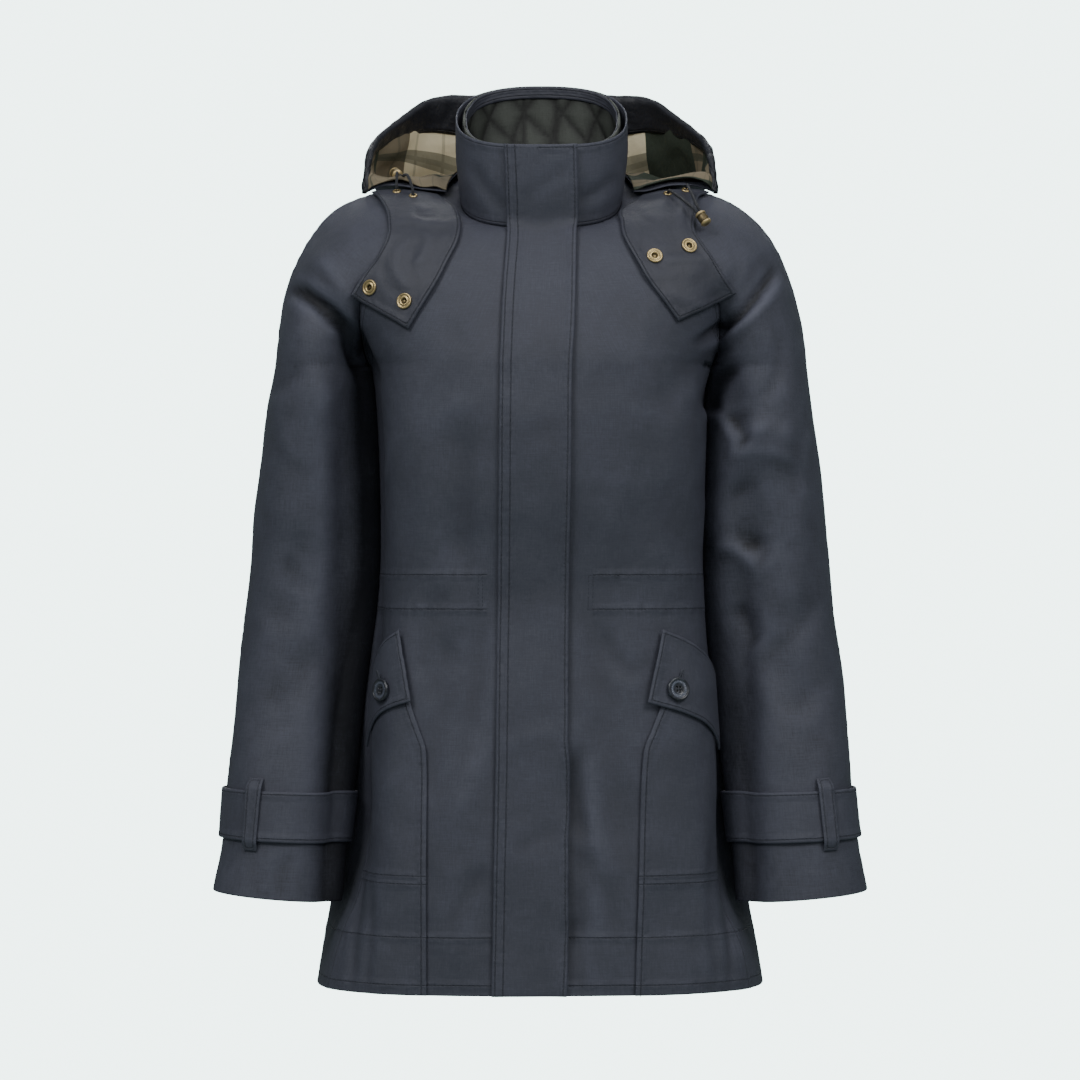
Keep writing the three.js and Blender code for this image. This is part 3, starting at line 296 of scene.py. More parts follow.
def body_section(u, z, face):
    """A quarter of the body's section: a superellipse of exponent 2.8, with a bell-shaped hollow
    in its side where the sleeve hangs."""
    side, front, back, dent, forward = table_at(BODY, z)
    angle = u * math.pi / 2
    y = face * (front if face < 0 else back) * power(np.cos(angle), BODY_SQUARENESS)
    hollow = dent * np.exp(-(((y + forward) / DENT_HALF_WIDTH) ** 2))
    return np.stack([hollow - side * power(np.sin(angle), BODY_SQUARENESS), y, z], -1)


def sleeve_section(u, z, face):
    """Half of the sleeve's section: a superellipse of exponent 2.15 between the body's hollow side
    and the outer reach, tipped up outwards."""
    outer, clear, middle, depth, tip = table_at(SLEEVE, z)
    side, front, _, dent, _ = table_at(BODY, z)
    inner = side * (1 - (np.abs(middle) / front) ** BODY_SQUARENESS) ** (1 / BODY_SQUARENESS) - dent + clear
    angle = u * math.pi
    across = (outer - inner) / 2 * power(np.cos(angle), SLEEVE_SQUARENESS)
    y = middle + face * depth * power(np.sin(angle), SLEEVE_SQUARENESS)
    return np.stack([across - (outer + inner) / 2, y, z - across * tip], -1)


def crease_depth(rows, face, x, z):
    """Depth of the creases seen from one face. Each is a bell across its line, which may bow
    sideways, with a lower ridge beside it where it has a bow, and fades at its ends."""
    depth = np.zeros_like(x)
    for row in rows:
        if row[0] != face:
            continue
        x1, z1, x2, z2 = row[1:5]
        bow, width, deep = row[5:] if len(row) == 8 else (0, *row[5:])
        dx, dz = x2 - x1, z2 - z1
        length = math.hypot(dx, dz)
        along = ((x - x1) * dx + (z - z1) * dz) / length
        off = ((x - x1) * dz - (z - z1) * dx) / length
        t = along / length
        off = off - bow * 4 * t * (1 - t)
        fade = ease(t / 0.35 + 0.5) * ease((1 - t) / 0.35 + 0.5)
        bell = np.exp(-((off / width) ** 2))
        if bow:
            side = math.copysign(1.8, bow)
            bell = bell - 0.3 * np.exp(-((off / width - side) ** 2 / 1.3))
        depth = depth + deep * fade * bell
    return depth


def lean(x, z):
    """Sideways shift of the leaning centre line, which fades out towards the side seams."""
    down = np.clip((46 - z) / (46 - HEM), 0, 1)
    half = table_at(BODY, np.clip(z, HEM, UNDERARM))[0]
    return mix(LEAN_TOP, LEAN_HEM, down) * np.maximum(0, 1 - (x / half) ** 2)


def shell_point(kind, side, u, v):
    """A point of a shell panel: a cubic from the neck seam to the underarm level for v from 0 to 1,
    then the body's or sleeve's section down to hem or cuff for v from 1 to 2, with the folds."""
    names, neck_at, face, end = PANELS[kind]
    u, v = np.broadcast_arrays(np.asarray(u, float), np.asarray(v, float))
    z = mix(UNDERARM, end, np.clip(v - 1, 0, 1))
    sleeve = kind.startswith("sleeve")
    below = (sleeve_section if sleeve else body_section)(u, z, face)
    neck = ring(NECK, mix(neck_at[0], neck_at[1], u))
    w = u[..., None]
    upper, lower = (
        sum(np.array(LINES[name][end_], float) * share
            for name, share in zip(names, ((1 - w) * (1 - 2 * w), 4 * w * (1 - w), w * (2 * w - 1))))
        for end_ in (0, 1)
    )
    t = np.clip(v, 0, 1)[..., None]
    s = 1 - t
    p = neck * s ** 3 + 3 * upper * s * s * t + 3 * lower * s * t * t + below * t ** 3
    x, y, z = -side * p[..., 0], p[..., 1], p[..., 2]
    middle = np.where(v > 1, table_at(SLEEVE, z)[2], 0) if sleeve else 0
    facing = ease(face * (y - middle) / 42)
    depth = crease_depth(FOLDS, face, x, z) * facing * ease((v - 0.05) / 0.3)
    return np.stack([x + lean(x, z), y - face * depth, z], -1)


def stations(start, stop, count, length):
    """Evenly spaced values, with two more close to each end for a rounded edge."""
    near = np.array([0.5, 1.4]) / length * (stop - start)
    return np.sort(np.concatenate([np.linspace(start, stop, count), start + near, stop - near]))


class Surface:
    """A grid of points with normals that agree with an outward direction. us and vs are the
    parameters of its columns and rows. Where ring is true, the last column meets the first."""

    def __init__(self, points, us, vs, outward, ring=False):
        self.points, self.us, self.vs, self.ring = points, us, vs, ring
        self.outward = outward
        self.refresh()

    def refresh(self):
        """Works the normals out again: the cross product of the steps along rows and columns."""
        p = self.points
        if self.ring:
            along_u = np.roll(p, -1, 1) - np.roll(p, 1, 1)
        else:
            along_u = np.gradient(p, axis=1)
        n = unit(np.cross(along_u, np.gradient(p, axis=0)))
        toward = self.outward(p) if callable(self.outward) else np.array(self.outward, float)
        self.normals = -n if np.sum(n * toward) < 0 else n

    def moved(self, height):
        """Points at a height over the surface."""
        return self.points + self.normals * np.asarray(height)[..., None]

    def at(self, u, v):
        """Points and normals between the grid's own, by bilinear mixing."""
        row = np.interp(v, self.vs, np.arange(len(self.vs)))
        column = np.interp(u, self.us, np.arange(len(self.us)))
        i = np.clip(row.astype(int), 0, len(self.vs) - 2)
        j = np.clip(column.astype(int), 0, len(self.us) - 2)
        a, b = (row - i)[..., None], (column - j)[..., None]

        def blend(grid):
            upper = grid[i, j] * (1 - b) + grid[i, j + 1] * b
            return upper * (1 - a) + (grid[i + 1, j] * (1 - b) + grid[i + 1, j + 1] * b) * a

        return blend(self.points), unit(blend(self.normals))

    def lengths(self):
        """Distance along the rows and columns from their starts, for each point."""
        p = self.points
        rows = np.linalg.norm(np.diff(p, axis=1), axis=2)
        columns = np.linalg.norm(np.diff(p, axis=0), axis=2)
        across = np.hstack([np.zeros((len(p), 1)), np.cumsum(rows, 1)])
        down = np.vstack([np.zeros((1, p.shape[1])), np.cumsum(columns, 0)])
        return across, down

    def edge_distance(self):
        """Distance of each point from the nearest edge of the piece."""
        across, down = self.lengths()
        away = np.minimum(down, down[-1:] - down)
        return away if self.ring else np.minimum(away, np.minimum(across, across[:, -1:] - across))

    def relief(self, cells=2):
        """How far each point stands out from the mean of four neighbours some cells away."""
        p = self.points
        rows = np.pad(p, ((cells, cells), (0, 0), (0, 0)), mode="edge")
        columns = np.pad(p, ((0, 0), (cells, cells), (0, 0)), mode="wrap" if self.ring else "edge")
        around = rows[2 * cells:] + rows[:-2 * cells] + columns[:, 2 * cells:] + columns[:, :-2 * cells]
        return np.sum((p - around / 4) * self.normals, -1)


def undulation(points, seed, shortest, longest, count=14):
    """A gentle unevenness in space: the mean of sine waves in random directions, whose lengths lie
    between the two given."""
    random = np.random.default_rng(seed)
    directions = unit(random.normal(size=(count, 3)))
    waves = directions * (2 * math.pi / random.uniform(shortest, longest, (count, 1)))
    phases = random.uniform(0, 2 * math.pi, count)
    return np.sin(points @ waves.T + phases).sum(-1) / math.sqrt(count)


def pucker(away, along, reach, height, pitch, seed):
    """Small uneven ripples along a sewn line: sines of the way along it, which fade with the square
    of the distance away from it."""
    uneven = np.sin(2 * math.pi * along / pitch + 2.2 * np.sin(2 * math.pi * along / (pitch * 5.3) + seed))
    strength = 0.6 + 0.4 * np.sin(2 * math.pi * along / (pitch * 8.1) + 2 * seed)
    return height * strength * uneven * np.exp(-((away / reach) ** 2))


def settings():
    """The sizes and colours of the panel in the sidebar."""
    scene = bpy.context.scene
    return scene.jacket_sizes, scene.jacket_colours


def new_piece(name, points, faces, uvs, worn, material, nodes=(), sewn=None):
    """A mesh object from arrays: points in millimetres, faces, a UV pair for each corner, and for
    each point its wear and painted shade, and its distance from a sewn edge. It rides on the frame
    and stands for the CAD nodes."""
    mesh = bpy.data.meshes.new(name)
    mesh.from_pydata((points * MM).tolist(), [], faces.tolist())
    mesh.polygons.foreach_set("use_smooth", np.ones(len(faces), bool))
    mesh.uv_layers.new(name="UVMap").data.foreach_set("uv", (uvs * MM).astype(np.float32).ravel())
    mesh.attributes.new("worn", "FLOAT", "POINT").data.foreach_set("value", worn.astype(np.float32))
    sewn = np.full(len(points), FAR) if sewn is None else sewn
    mesh.attributes.new("sewn", "FLOAT", "POINT").data.foreach_set("value", sewn.astype(np.float32))
    mesh.materials.append(material)
    mesh.update()
    piece = bpy.data.objects.new(name, mesh)
    bpy.context.scene.collection.objects.link(piece)
    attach(piece, "root")
    if nodes:
        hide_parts(*nodes)
    return piece


def quads_of(grid):
    """Four-cornered faces between neighbouring entries of a grid of indices."""
    return np.stack([grid[:-1, :-1], grid[:-1, 1:], grid[1:, 1:], grid[1:, :-1]], -1).reshape(-1, 4)


def cloth_piece(name, surface, lower, upper, material, nodes=(), worn=0.0, sewn=None):
    """A closed sheet of cloth between two heights over a surface, joined round its edges. Near an
    edge the layers close in on each other as a quarter circle does. Its cut is its own size along
    rows and columns, and its flat area the sum of its cells."""
    rows, columns = surface.points.shape[:2]
    lower, upper = np.asarray(lower, float), np.asarray(upper, float)
    half = (upper - lower) / 2 * np.ones((rows, columns))
    away = surface.edge_distance()
    rounding = 0.25 + 0.75 * np.sqrt(1 - (1 - np.clip(away / (1.4 * half), 0, 1)) ** 2)
    centre = (upper + lower) / 2 * np.ones((rows, columns))
    top, bottom = surface.moved(centre + half * rounding), surface.moved(centre - half * rounding)
    points = np.concatenate([top.reshape(-1, 3), bottom.reshape(-1, 3)])
    wide = columns + surface.ring
    corner = np.arange(rows * wide).reshape(rows, wide)
    vertex = np.arange(rows * columns).reshape(rows, columns)
    if surface.ring:
        vertex = np.hstack([vertex, vertex[:, :1]])
        borders = [corner[0], corner[-1, ::-1]]
    else:
        loop = np.concatenate([corner[0], corner[1:, -1], corner[-1, -2::-1], corner[-2::-1, 0]])
        borders = [loop]
    under = rows * wide
    faces = [quads_of(corner), quads_of(corner)[:, ::-1] + under]
    for line in borders:
        a, b = line[:-1], line[1:]
        faces.append(np.stack([b, a, a + under, b + under], -1))
    faces = np.concatenate(faces)
    if np.sum(np.cross(top[0, 1] - top[0, 0], top[1, 0] - top[0, 0]) * surface.normals[0, 0]) < 0:
        faces = faces[:, ::-1]
    vertex_of = np.concatenate([vertex.ravel(), vertex.ravel() + rows * columns])
    across, down = surface.lengths()
    u = np.append(across.mean(0), across.mean(0)[-1] + across.mean(0)[1]) if surface.ring else across.mean(0)
    uv = np.stack(np.broadcast_arrays(u[None], down.mean(1)[:, None]), -1).reshape(-1, 2)
    uvs = np.concatenate([uv, uv])[faces].reshape(-1, 2)
    # Wear and painted shade: paler at the edges and on crests, as rubbed wear, and darker in hollows, as painted
    # shade, with the piece's own wear and painted shade added.
    rub_and_shade = np.clip(0.5 + 0.22 * surface.relief() + 0.15 * np.exp(-away / 1.6) + worn, 0, 1)
    sewn = (away if sewn is None else sewn) * np.ones((rows, columns))
    piece = new_piece(name, points, vertex_of[faces], uvs, np.concatenate([rub_and_shade.ravel()] * 2), material,
                      nodes, np.concatenate([sewn.ravel()] * 2))
    return piece


def smoothed(points, axis, passes):
    """A grid whose inner points are moved to the mean of themselves and their neighbours."""
    p = np.moveaxis(points.copy(), axis, 0)
    for _ in range(passes):
        p[1:-1] = (p[:-2] + 2 * p[1:-1] + p[2:]) / 4
    return np.moveaxis(p, 0, axis)


SHELL = {}
YOKE_LENGTH, BODY_LENGTH, SLEEVE_LENGTH = 190.0, 550.0, 470.0
ROWS = {"yoke": 46, "body": 136, "sleeve": 116}
# The row just above the underarm: below it the sleeve swells until it touches the body.
LAST_YOKE_ROW = 0.998
COLUMNS = {"front": 62, "back": 62, "sleeve_front": 44, "sleeve_back": 44}
WIDTHS = {"front": 240.0, "back": 230.0, "sleeve_front": 170.0, "sleeve_back": 170.0}


def share_normals(a, column_a, b, column_b, rows):
    """Gives two panels the same normals along a seam, so that they meet."""
    mean = unit(a.normals[rows, column_a] + b.normals[rows, column_b])
    a.normals[rows, column_a] = mean
    b.normals[rows, column_b] = mean


def share_all_normals():
    """Shares normals along the raglan, side, underarm, over-arm and centre lines."""
    yoke = slice(0, ROWS["yoke"] + 2)
    lower = slice(ROWS["yoke"] + 1, None)
    for side in SIDES:
        front, back, sleeve_front, sleeve_back = (SHELL[kind, side] for kind in PANELS)
        share_normals(front, -1, sleeve_front, 0, yoke)
        share_normals(back, -1, sleeve_back, 0, yoke)
        share_normals(front, -1, back, -1, lower)
        share_normals(sleeve_front, 0, sleeve_back, 0, lower)
        share_normals(sleeve_front, -1, sleeve_back, -1, slice(None))
    for kind in ("front", "back"):
        share_normals(SHELL[kind, "right"], 0, SHELL[kind, "left"], 0, slice(None))


def fine_relief(kind, side, surface):
    """Height of the finer form of a panel: creases, an unevenness, and puckers at its seams and, on
    the body, beside the drawcord channel at the waist. Below the underarm, where sleeve and body
    touch, both are even, and the sleeve swells towards the body."""
    face = PANELS[kind][2]
    p = surface.points
    x, y, z = np.moveaxis(p, -1, 0)
    sleeve = kind.startswith("sleeve")
    down_from_arm = ease((surface.vs[:, None] - LAST_YOKE_ROW) / (1 - LAST_YOKE_ROW))
    middle = np.where(surface.vs[:, None] > 1, table_at(SLEEVE, z)[2], 0) if sleeve else 0
    facing = ease(face * (y - middle) / 30)
    soft_top = ease((surface.vs[:, None] - 0.03) / 0.2)
    across, down = surface.lengths()
    beside = across if sleeve else y + table_at(BODY, z)[4]
    touching = down_from_arm * np.exp(-((beside / 30) ** 2))
    height = -crease_depth(CREASES, face, x, z) * facing * soft_top
    height += (0.6 * undulation(p, 7, 45, 110) + 0.1 * undulation(p, 11, 14, 34)) * soft_top * (1 - touching)
    seam = across[:, -1:] - across
    height += pucker(seam, down, 8, 0.3, 11, 1.3)
    if sleeve:
        height += pucker(across, down, 8, 0.3, 12, 0.4) * (1 - touching)
        height += pucker(z - CUFF - 24, across, 7, 0.25, 10, 2.0)
        swelling = np.minimum(table_at(SLEEVE, z)[1] + 1.1, 5.5)
        return height * settings()[0].crease + touching * swelling
    for level, least in CHANNEL:
        height += pucker(z - level, across, 7, 0.38, 9, level) * ease((np.abs(x) - least) / 6)
    height += 0.35 * ease((z + 366) / 6) * ease((-328 - z) / 6) * ease((np.abs(x) - 44) / 8)
    height += pucker(z - HEM - 50, across, 7, 0.28, 12, 0.8)
    return height * settings()[0].crease


def build_shell():
    """All eight shell panels, with folds and finer form, as surfaces with common normals."""
    if SHELL:
        return
    for side, sign in SIDES.items():
        for kind in PANELS:
            sleeve = kind.startswith("sleeve")
            us = stations(0, 1, COLUMNS[kind], WIDTHS[kind])
            yoke = np.linspace(0, 1, ROWS["yoke"] + 1)
            yoke = np.insert(yoke, 1, 0.7 / YOKE_LENGTH)
            yoke[-2] = LAST_YOKE_ROW
            count, length = ("sleeve", SLEEVE_LENGTH) if sleeve else ("body", BODY_LENGTH)
            lower = np.linspace(1, 2, ROWS[count] + 1)[1:]
            lower = np.insert(lower, -1, 2 - np.array([1.4, 0.5]) / length)
            vs = np.concatenate([yoke, lower])

            def outward(p, sleeve=sleeve, sign=sign):
                middle = sign * mix(185, 235, np.clip((UNDERARM - p[..., 2]) / 466, 0, 1)) if sleeve else 0
                up = np.where(p[..., 2] > UNDERARM, 60, 0) if sleeve else 0 * p[..., 2]
                return np.stack([p[..., 0] - middle, p[..., 1], up], -1)

            points = shell_point(kind, sign, us[None], vs[:, None])
            SHELL[kind, side] = Surface(points, us, vs, outward)
    share_all_normals()
    for (kind, side), surface in SHELL.items():
        surface.points = surface.moved(fine_relief(kind, side, surface))
    for surface in SHELL.values():
        surface.refresh()
    share_all_normals()
    for surface in SHELL.values():
        for column, beside in ((0, 1), (-1, -2)):
            edge = surface.points[:, column]
            surface.points[:, column] = edge - unit(surface.points[:, beside] - edge) * SEAM_LAP


def joined_back():
    """The back as one surface: both halves joined along the centre line."""
    right, left = SHELL["back", "right"], SHELL["back", "left"]
    us = np.concatenate([-right.us[::-1], left.us[1:]])
    points = np.concatenate([right.points[:, ::-1], left.points[:, 1:]], 1)
    back = Surface(points, us, right.vs, (0, 1, 0))
    back.normals = np.concatenate([right.normals[:, ::-1], left.normals[:, 1:]], 1)
    keep = np.abs(us) > 0.004
    keep[np.argmin(np.abs(us))] = True
    back.points, back.normals, back.us = back.points[:, keep], back.normals[:, keep], us[keep]
    return back


def front_at(x, v):
    """The place on the fronts at x, by v, found by halving the range of u."""
    middle = SHELL["front", "right"].at(0 * v, v)[0][..., 0]
    found = []
    for side in ("right", "left"):
        surface = SHELL["front", side]
        low, high = 0 * x, 0 * x + 0.8
        for _ in range(24):
            u = (low + high) / 2
            beyond = np.abs(surface.at(u, v)[0][..., 0] - middle) > np.abs(x - middle)
            low, high = np.where(beyond, low, u), np.where(beyond, u, high)
        found.append(surface.at(low, v))
    on_right = (x < middle)[..., None]
    return tuple(np.where(on_right, right, left) for right, left in zip(*found))


def on_front(side, u, z):
    """Points and normals on a front by u and height."""
    return SHELL["front", side].at(u, 1 + (UNDERARM - z) / (UNDERARM - HEM))


def on_sleeve(side, turn, z):
    """Points and normals on a sleeve: turn runs from the underarm seam over the front (0 to 1) and
    the back (1 to 2)."""
    v = 1 + (UNDERARM - z) / (UNDERARM - CUFF)
    front = SHELL["sleeve_front", side].at(turn, v)
    back = SHELL["sleeve_back", side].at(2 - turn, v)
    return tuple(np.where((turn <= 1)[..., None], f, b) for f, b in zip(front, back))


def collar_point(degrees, v):
    """The collar between its edge (v = 0) and the neck seam (v = 1), with a slight belly."""
    angle = np.minimum(degrees, 360 - degrees)
    top, seam = ring(COLLAR_EDGE, angle), ring(NECK, angle)
    p = mix(top, seam, v[..., None])
    belly = 2.5 * np.sin(math.pi * v)
    x = np.where(degrees <= 180, p[..., 0], -p[..., 0]) * (1 + belly / 75)
    y = p[..., 1] * (1 + belly / 70)
    return np.stack([x + lean(x, p[..., 2]), y, p[..., 2] + SEAM * v], -1)


def collar_surface(columns, vs):
    """The collar's grid, from just beside its front opening all the way round."""
    degrees = stations(0.5, 359.5, columns, 430)
    points = collar_point(*np.broadcast_arrays(degrees[None], vs[:, None]))
    return Surface(points, degrees, vs, lambda p: p * np.array([1, 1, 0]))


def nearest(points, cloud, normals):
    """For each point, the nearest of a cloud and its normal, in blocks of 400 points."""
    flat = points.reshape(-1, 3)
    found = np.concatenate([
        ((flat[i:i + 400, None] - cloud[None]) ** 2).sum(-1).argmin(1) for i in range(0, len(flat), 400)
    ])
    shape = points.shape
    return cloud[found].reshape(shape), normals[found].reshape(shape)


CLOUD = {}


def build_cloud():
    """Points and normals of the panels and collar near the shoulders, to lay pieces on."""
    surfaces = list(SHELL.values()) + [collar_surface(90, np.linspace(0, 1, 14))]
    points = np.concatenate([s.points[::2, ::2].reshape(-1, 3) for s in surfaces])
    normals = np.concatenate([s.normals[::2, ::2].reshape(-1, 3) for s in surfaces])
    near = points[:, 2] > -170
    CLOUD["points"], CLOUD["normals"] = points[near], normals[near]


def height_over(points):
    """Height of points over the tangent plane of the nearest place, and the normal there."""
    q, n = nearest(points, CLOUD["points"], CLOUD["normals"])
    return np.sum((points - q) * n, -1), n


def lifted(points, clearance):
    """Points moved outwards until they clear the panels."""
    height, n = height_over(points)
    return points + n * np.maximum(0, clearance - height)[..., None]


def draped(x, z, clearance):
    """The place seen from the front at x and z, at a height over the panels."""
    near, far = np.full_like(x, -150.0), np.full_like(x, 60.0)
    for _ in range(14):
        y = (near + far) / 2
        over = height_over(np.stack([x, y, z], -1))[0] > clearance
        near, far = np.where(over, y, near), np.where(over, far, y)
    return lifted(np.stack([x, near, z], -1), clearance)


def resampled(points, rows, columns):
    """A coarse grid of points made fine: hermite along its columns and then along its rows."""
    for axis, wanted in ((0, rows), (1, columns)):
        grid = np.moveaxis(points, axis, 0)
        table = np.concatenate([np.arange(len(grid))[:, None], grid.reshape(len(grid), -1)], 1).astype(float)
        fine = table_at(table, wanted * (len(grid) - 1)).T.reshape(len(wanted), *grid.shape[1:])
        points = np.moveaxis(fine, 0, axis)
    return points


def hood_point(s, t):
    """The hood: along t a cubic through five points of its section, which hermite finds for s."""
    knots = table_at(HOOD, np.abs(s)).reshape(5, 3, *s.shape)
    i = np.clip((t * 4).astype(int), 0, 3)
    f = t * 4 - i

    def pick(k):
        return np.take_along_axis(knots, np.broadcast_to(k, (1, 3, *s.shape)), 0)[0]

    p = hermite(pick(np.maximum(i - 1, 0)), pick(i), pick(i + 1), pick(np.minimum(i + 2, 4)),
                np.where(i == 0, 0, 1), 1, np.where(i == 3, 0, 1), f)
    p[0] *= np.sign(s)
    return np.moveaxis(p, 0, -1)


def hood_surface(ss, ts):
    """The hood's grid, lifted clear of the shoulders as its coarse grid is."""
    coarse_s, coarse_t = np.linspace(-1, 1, 23), np.linspace(0, 1, 11)
    coarse = hood_point(*np.broadcast_arrays(coarse_s[None], coarse_t[:, None]))
    shift = lifted(coarse, HOOD_CLEAR) - coarse
    lift = Surface(shift, coarse_s, coarse_t, (0, 0, 1))
    s, t = np.broadcast_arrays(ss[None], ts[:, None])
    points = hood_point(s, t) + lift.at(s, t)[0]
    return Surface(points, ss, ts, lambda p: p - np.array([0, 100, 60]))


def node_group(name, inputs, outputs):
    """A new shader node group with named sockets: float inputs with defaults, and outputs."""
    group = bpy.data.node_groups.new(name, "ShaderNodeTree")
    for label, kind, default in inputs:
        socket = group.interface.new_socket(name=label, in_out="INPUT", socket_type=kind)
        if default is not None:
            socket.default_value = default
    for label, kind in outputs:
        group.interface.new_socket(name=label, in_out="OUTPUT", socket_type=kind)
    return group, group.nodes.new("NodeGroupInput"), group.nodes.new("NodeGroupOutput")


def node(tree, kind, links=(), **values):
    """A node with its properties set and its inputs linked or given, by name or number."""
    made = tree.nodes.new(kind)
    for key, value in values.items():
        setattr(made, key, value)
    for socket, value in links:
        target = made.inputs[socket]
        if isinstance(value, bpy.types.NodeSocket):
            tree.links.new(value, target)
        else:
            target.default_value = value
    return made


def maths(tree, operation, *values):
    """The result of a maths node, from links or numbers."""
    return node(tree, "ShaderNodeMath", enumerate(values), operation=operation).outputs[0]


def ranged(tree, value, *limits, **values):
    """A value mapped from the range of the first two limits to that of the others, or to 0 to 1."""
    return node(tree, "ShaderNodeMapRange", [(0, value), *enumerate(limits, 1)], **values).outputs[0]


def blended(tree, share, first, second, how="MIX"):
    """Two colours mixed by a share."""
    links = [(0, share), (6, first), (7, second)]
    return node(tree, "ShaderNodeMix", links, data_type="RGBA", blend_type=how).outputs[2]


def noise(tree, vector, scale, detail):
    """A noise from 0 to 1."""
    links = [("Vector", vector), ("Scale", scale), ("Detail", detail)]
    return node(tree, "ShaderNodeTexNoise", links).outputs["Fac"]


def mottle_group():
    """Uneven tone of waxed cloth: large clouds and small specks, as one value near 0."""
    group, start, end = node_group(
        "Mottle",
        [("Vector", "NodeSocketVector", None), ("Clouds", "NodeSocketFloat", 0.5),
         ("Specks", "NodeSocketFloat", 0.3)],
        [("Value", "NodeSocketFloat")],
    )
    clouds = maths(group, "SUBTRACT", noise(group, start.outputs["Vector"], 22, 4), 0.5)
    specks = maths(group, "SUBTRACT", noise(group, start.outputs["Vector"], 420, 3), 0.5)
    large = maths(group, "MULTIPLY", clouds, start.outputs["Clouds"])
    both = maths(group, "MULTIPLY_ADD", specks, start.outputs["Specks"], large)
    group.links.new(both, end.inputs["Value"])
    return group


def weave_group():
    """Plain weave: the higher of warp and weft waves, in cloth metres, as a height from 0 to 1."""
    group, start, end = node_group(
        "Weave",
        [("UV", "NodeSocketVector", None), ("Threads", "NodeSocketFloat", 1100.0)],
        [("Height", "NodeSocketFloat")],
    )
    links = [("Vector", start.outputs["UV"]), ("Scale", start.outputs["Threads"]), ("Distortion", 0.6),
             ("Detail", 1)]
    waves = [node(group, "ShaderNodeTexWave", links, bands_direction=way).outputs["Fac"] for way in "XY"]
    group.links.new(maths(group, "MAXIMUM", *waves), end.inputs["Height"])
    return group


def worn_group():
    """Colour of rubbed wear and painted shade: paler where the value is above the middle, as rubbed
    wear, and deeper where it is below, as painted shade in hollows and holes and as patina in the
    grooves of metal, shaken by the mottle."""
    group, start, end = node_group(
        "Worn",
        [("Colour", "NodeSocketColor", (0.05, 0.05, 0.06, 1)),
         ("Rubbed", "NodeSocketColor", (0.1, 0.1, 0.1, 1)),
         ("Deep", "NodeSocketColor", (0.02, 0.02, 0.02, 1)), ("Worn", "NodeSocketFloat", 0.5),
         ("Mottle", "NodeSocketFloat", 0.0)],
        [("Colour", "NodeSocketColor")],
    )
    given = start.outputs
    shaken = maths(group, "ADD", given["Worn"], given["Mottle"])
    paler = blended(group, ranged(group, shaken, 0.5, 1.0), given["Colour"], given["Rubbed"])
    deeper = blended(group, ranged(group, shaken, 0.5, 0.0), paler, given["Deep"])
    group.links.new(deeper, end.inputs["Colour"])
    return group


def heather_group():
    """Uneven yarn: two noises, each drawn out along one direction of the weave, as one value near 0."""
    group, start, end = node_group(
        "Heather", [("UV", "NodeSocketVector", None)], [("Value", "NodeSocketFloat")],
    )
    yarns = []
    for stretch in ((1500, 55, 1), (55, 1500, 1)):
        links = [(0, start.outputs["UV"]), (1, stretch)]
        drawn = node(group, "ShaderNodeVectorMath", links, operation="MULTIPLY")
        yarns.append(noise(group, drawn.outputs[0], 1.0, 2))
    level = maths(group, "SUBTRACT", maths(group, "ADD", *yarns), 1.0)
    group.links.new(level, end.inputs["Value"])
    return group


def sewn_group():
    """A sewn line from a distance and the line's own place, both in millimetres: Line is its narrow
    groove, and Near the puckered strip beside it."""
    group, start, end = node_group(
        "Sewn line", [("Distance", "NodeSocketFloat", 0.0), ("Place", "NodeSocketFloat", 3.0)],
        [("Line", "NodeSocketFloat"), ("Near", "NodeSocketFloat")],
    )
    away = maths(group, "ABSOLUTE", maths(group, "SUBTRACT", start.outputs["Distance"], start.outputs["Place"]))
    for label, close, far in (("Line", 0.15, 0.75), ("Near", 0.5, 6.5)):
        strip = ranged(group, away, close, far, 1.0, 0.0, interpolation_type="SMOOTHSTEP")
        group.links.new(strip, end.inputs[label])
    return group


GROUPS = {}


def groups():
    """The shared node groups, built once."""
    if not GROUPS:
        GROUPS.update(mottle=mottle_group(), weave=weave_group(), worn=worn_group(), heather=heather_group(),
                      sewn=sewn_group())
    return GROUPS


def placed(tree, name, links):
    """A shared group placed in a material."""
    return node(tree, "ShaderNodeGroup", links, node_tree=groups()[name])


def scaled(colour, by):
    """A colour with its three channels scaled."""
    return (*(min(1.0, c * by) for c in colour[:3]), 1.0)


def bumped(tree, heights, normal=None):
    """Bump nodes in a row: each height has its strength and distance in metres."""
    for height, strength, distance in heights:
        links = [("Strength", strength), ("Distance", distance), ("Height", height)]
        if normal is not None:
            links.append(("Normal", normal))
        normal = node(tree, "ShaderNodeBump", links).outputs["Normal"]
    return normal


def sewn_lines(tree, place, insets, levels):
    """Line and Near of all sewn lines of a material: at insets from the sewn edges, and at levels,
    each a height and the least distance from the middle, in millimetres."""
    edge = node(tree, "ShaderNodeAttribute", attribute_name="sewn").outputs["Fac"]
    found = [placed(tree, "sewn", [("Distance", edge), ("Place", inset)]) for inset in insets]
    lines = {label: [one.outputs[label] for one in found] for label in ("Line", "Near")}
    if levels:
        point = node(tree, "ShaderNodeSeparateXYZ", [(0, place.outputs["Object"])])
        height = maths(tree, "MULTIPLY", point.outputs["Z"], 1 / MM)
        aside = maths(tree, "ABSOLUTE", point.outputs["X"])
        for level, least in levels:
            one = placed(tree, "sewn", [("Distance", height), ("Place", level)])
            beyond = maths(tree, "GREATER_THAN", aside, least * MM)
            for label, sockets in lines.items():
                sockets.append(maths(tree, "MULTIPLY", one.outputs[label], beyond))
    greatest = []
    for sockets in lines.values():
        most = sockets[0]
        for socket in sockets[1:]:
            most = maths(tree, "MAXIMUM", most, socket)
        greatest.append(most)
    return greatest


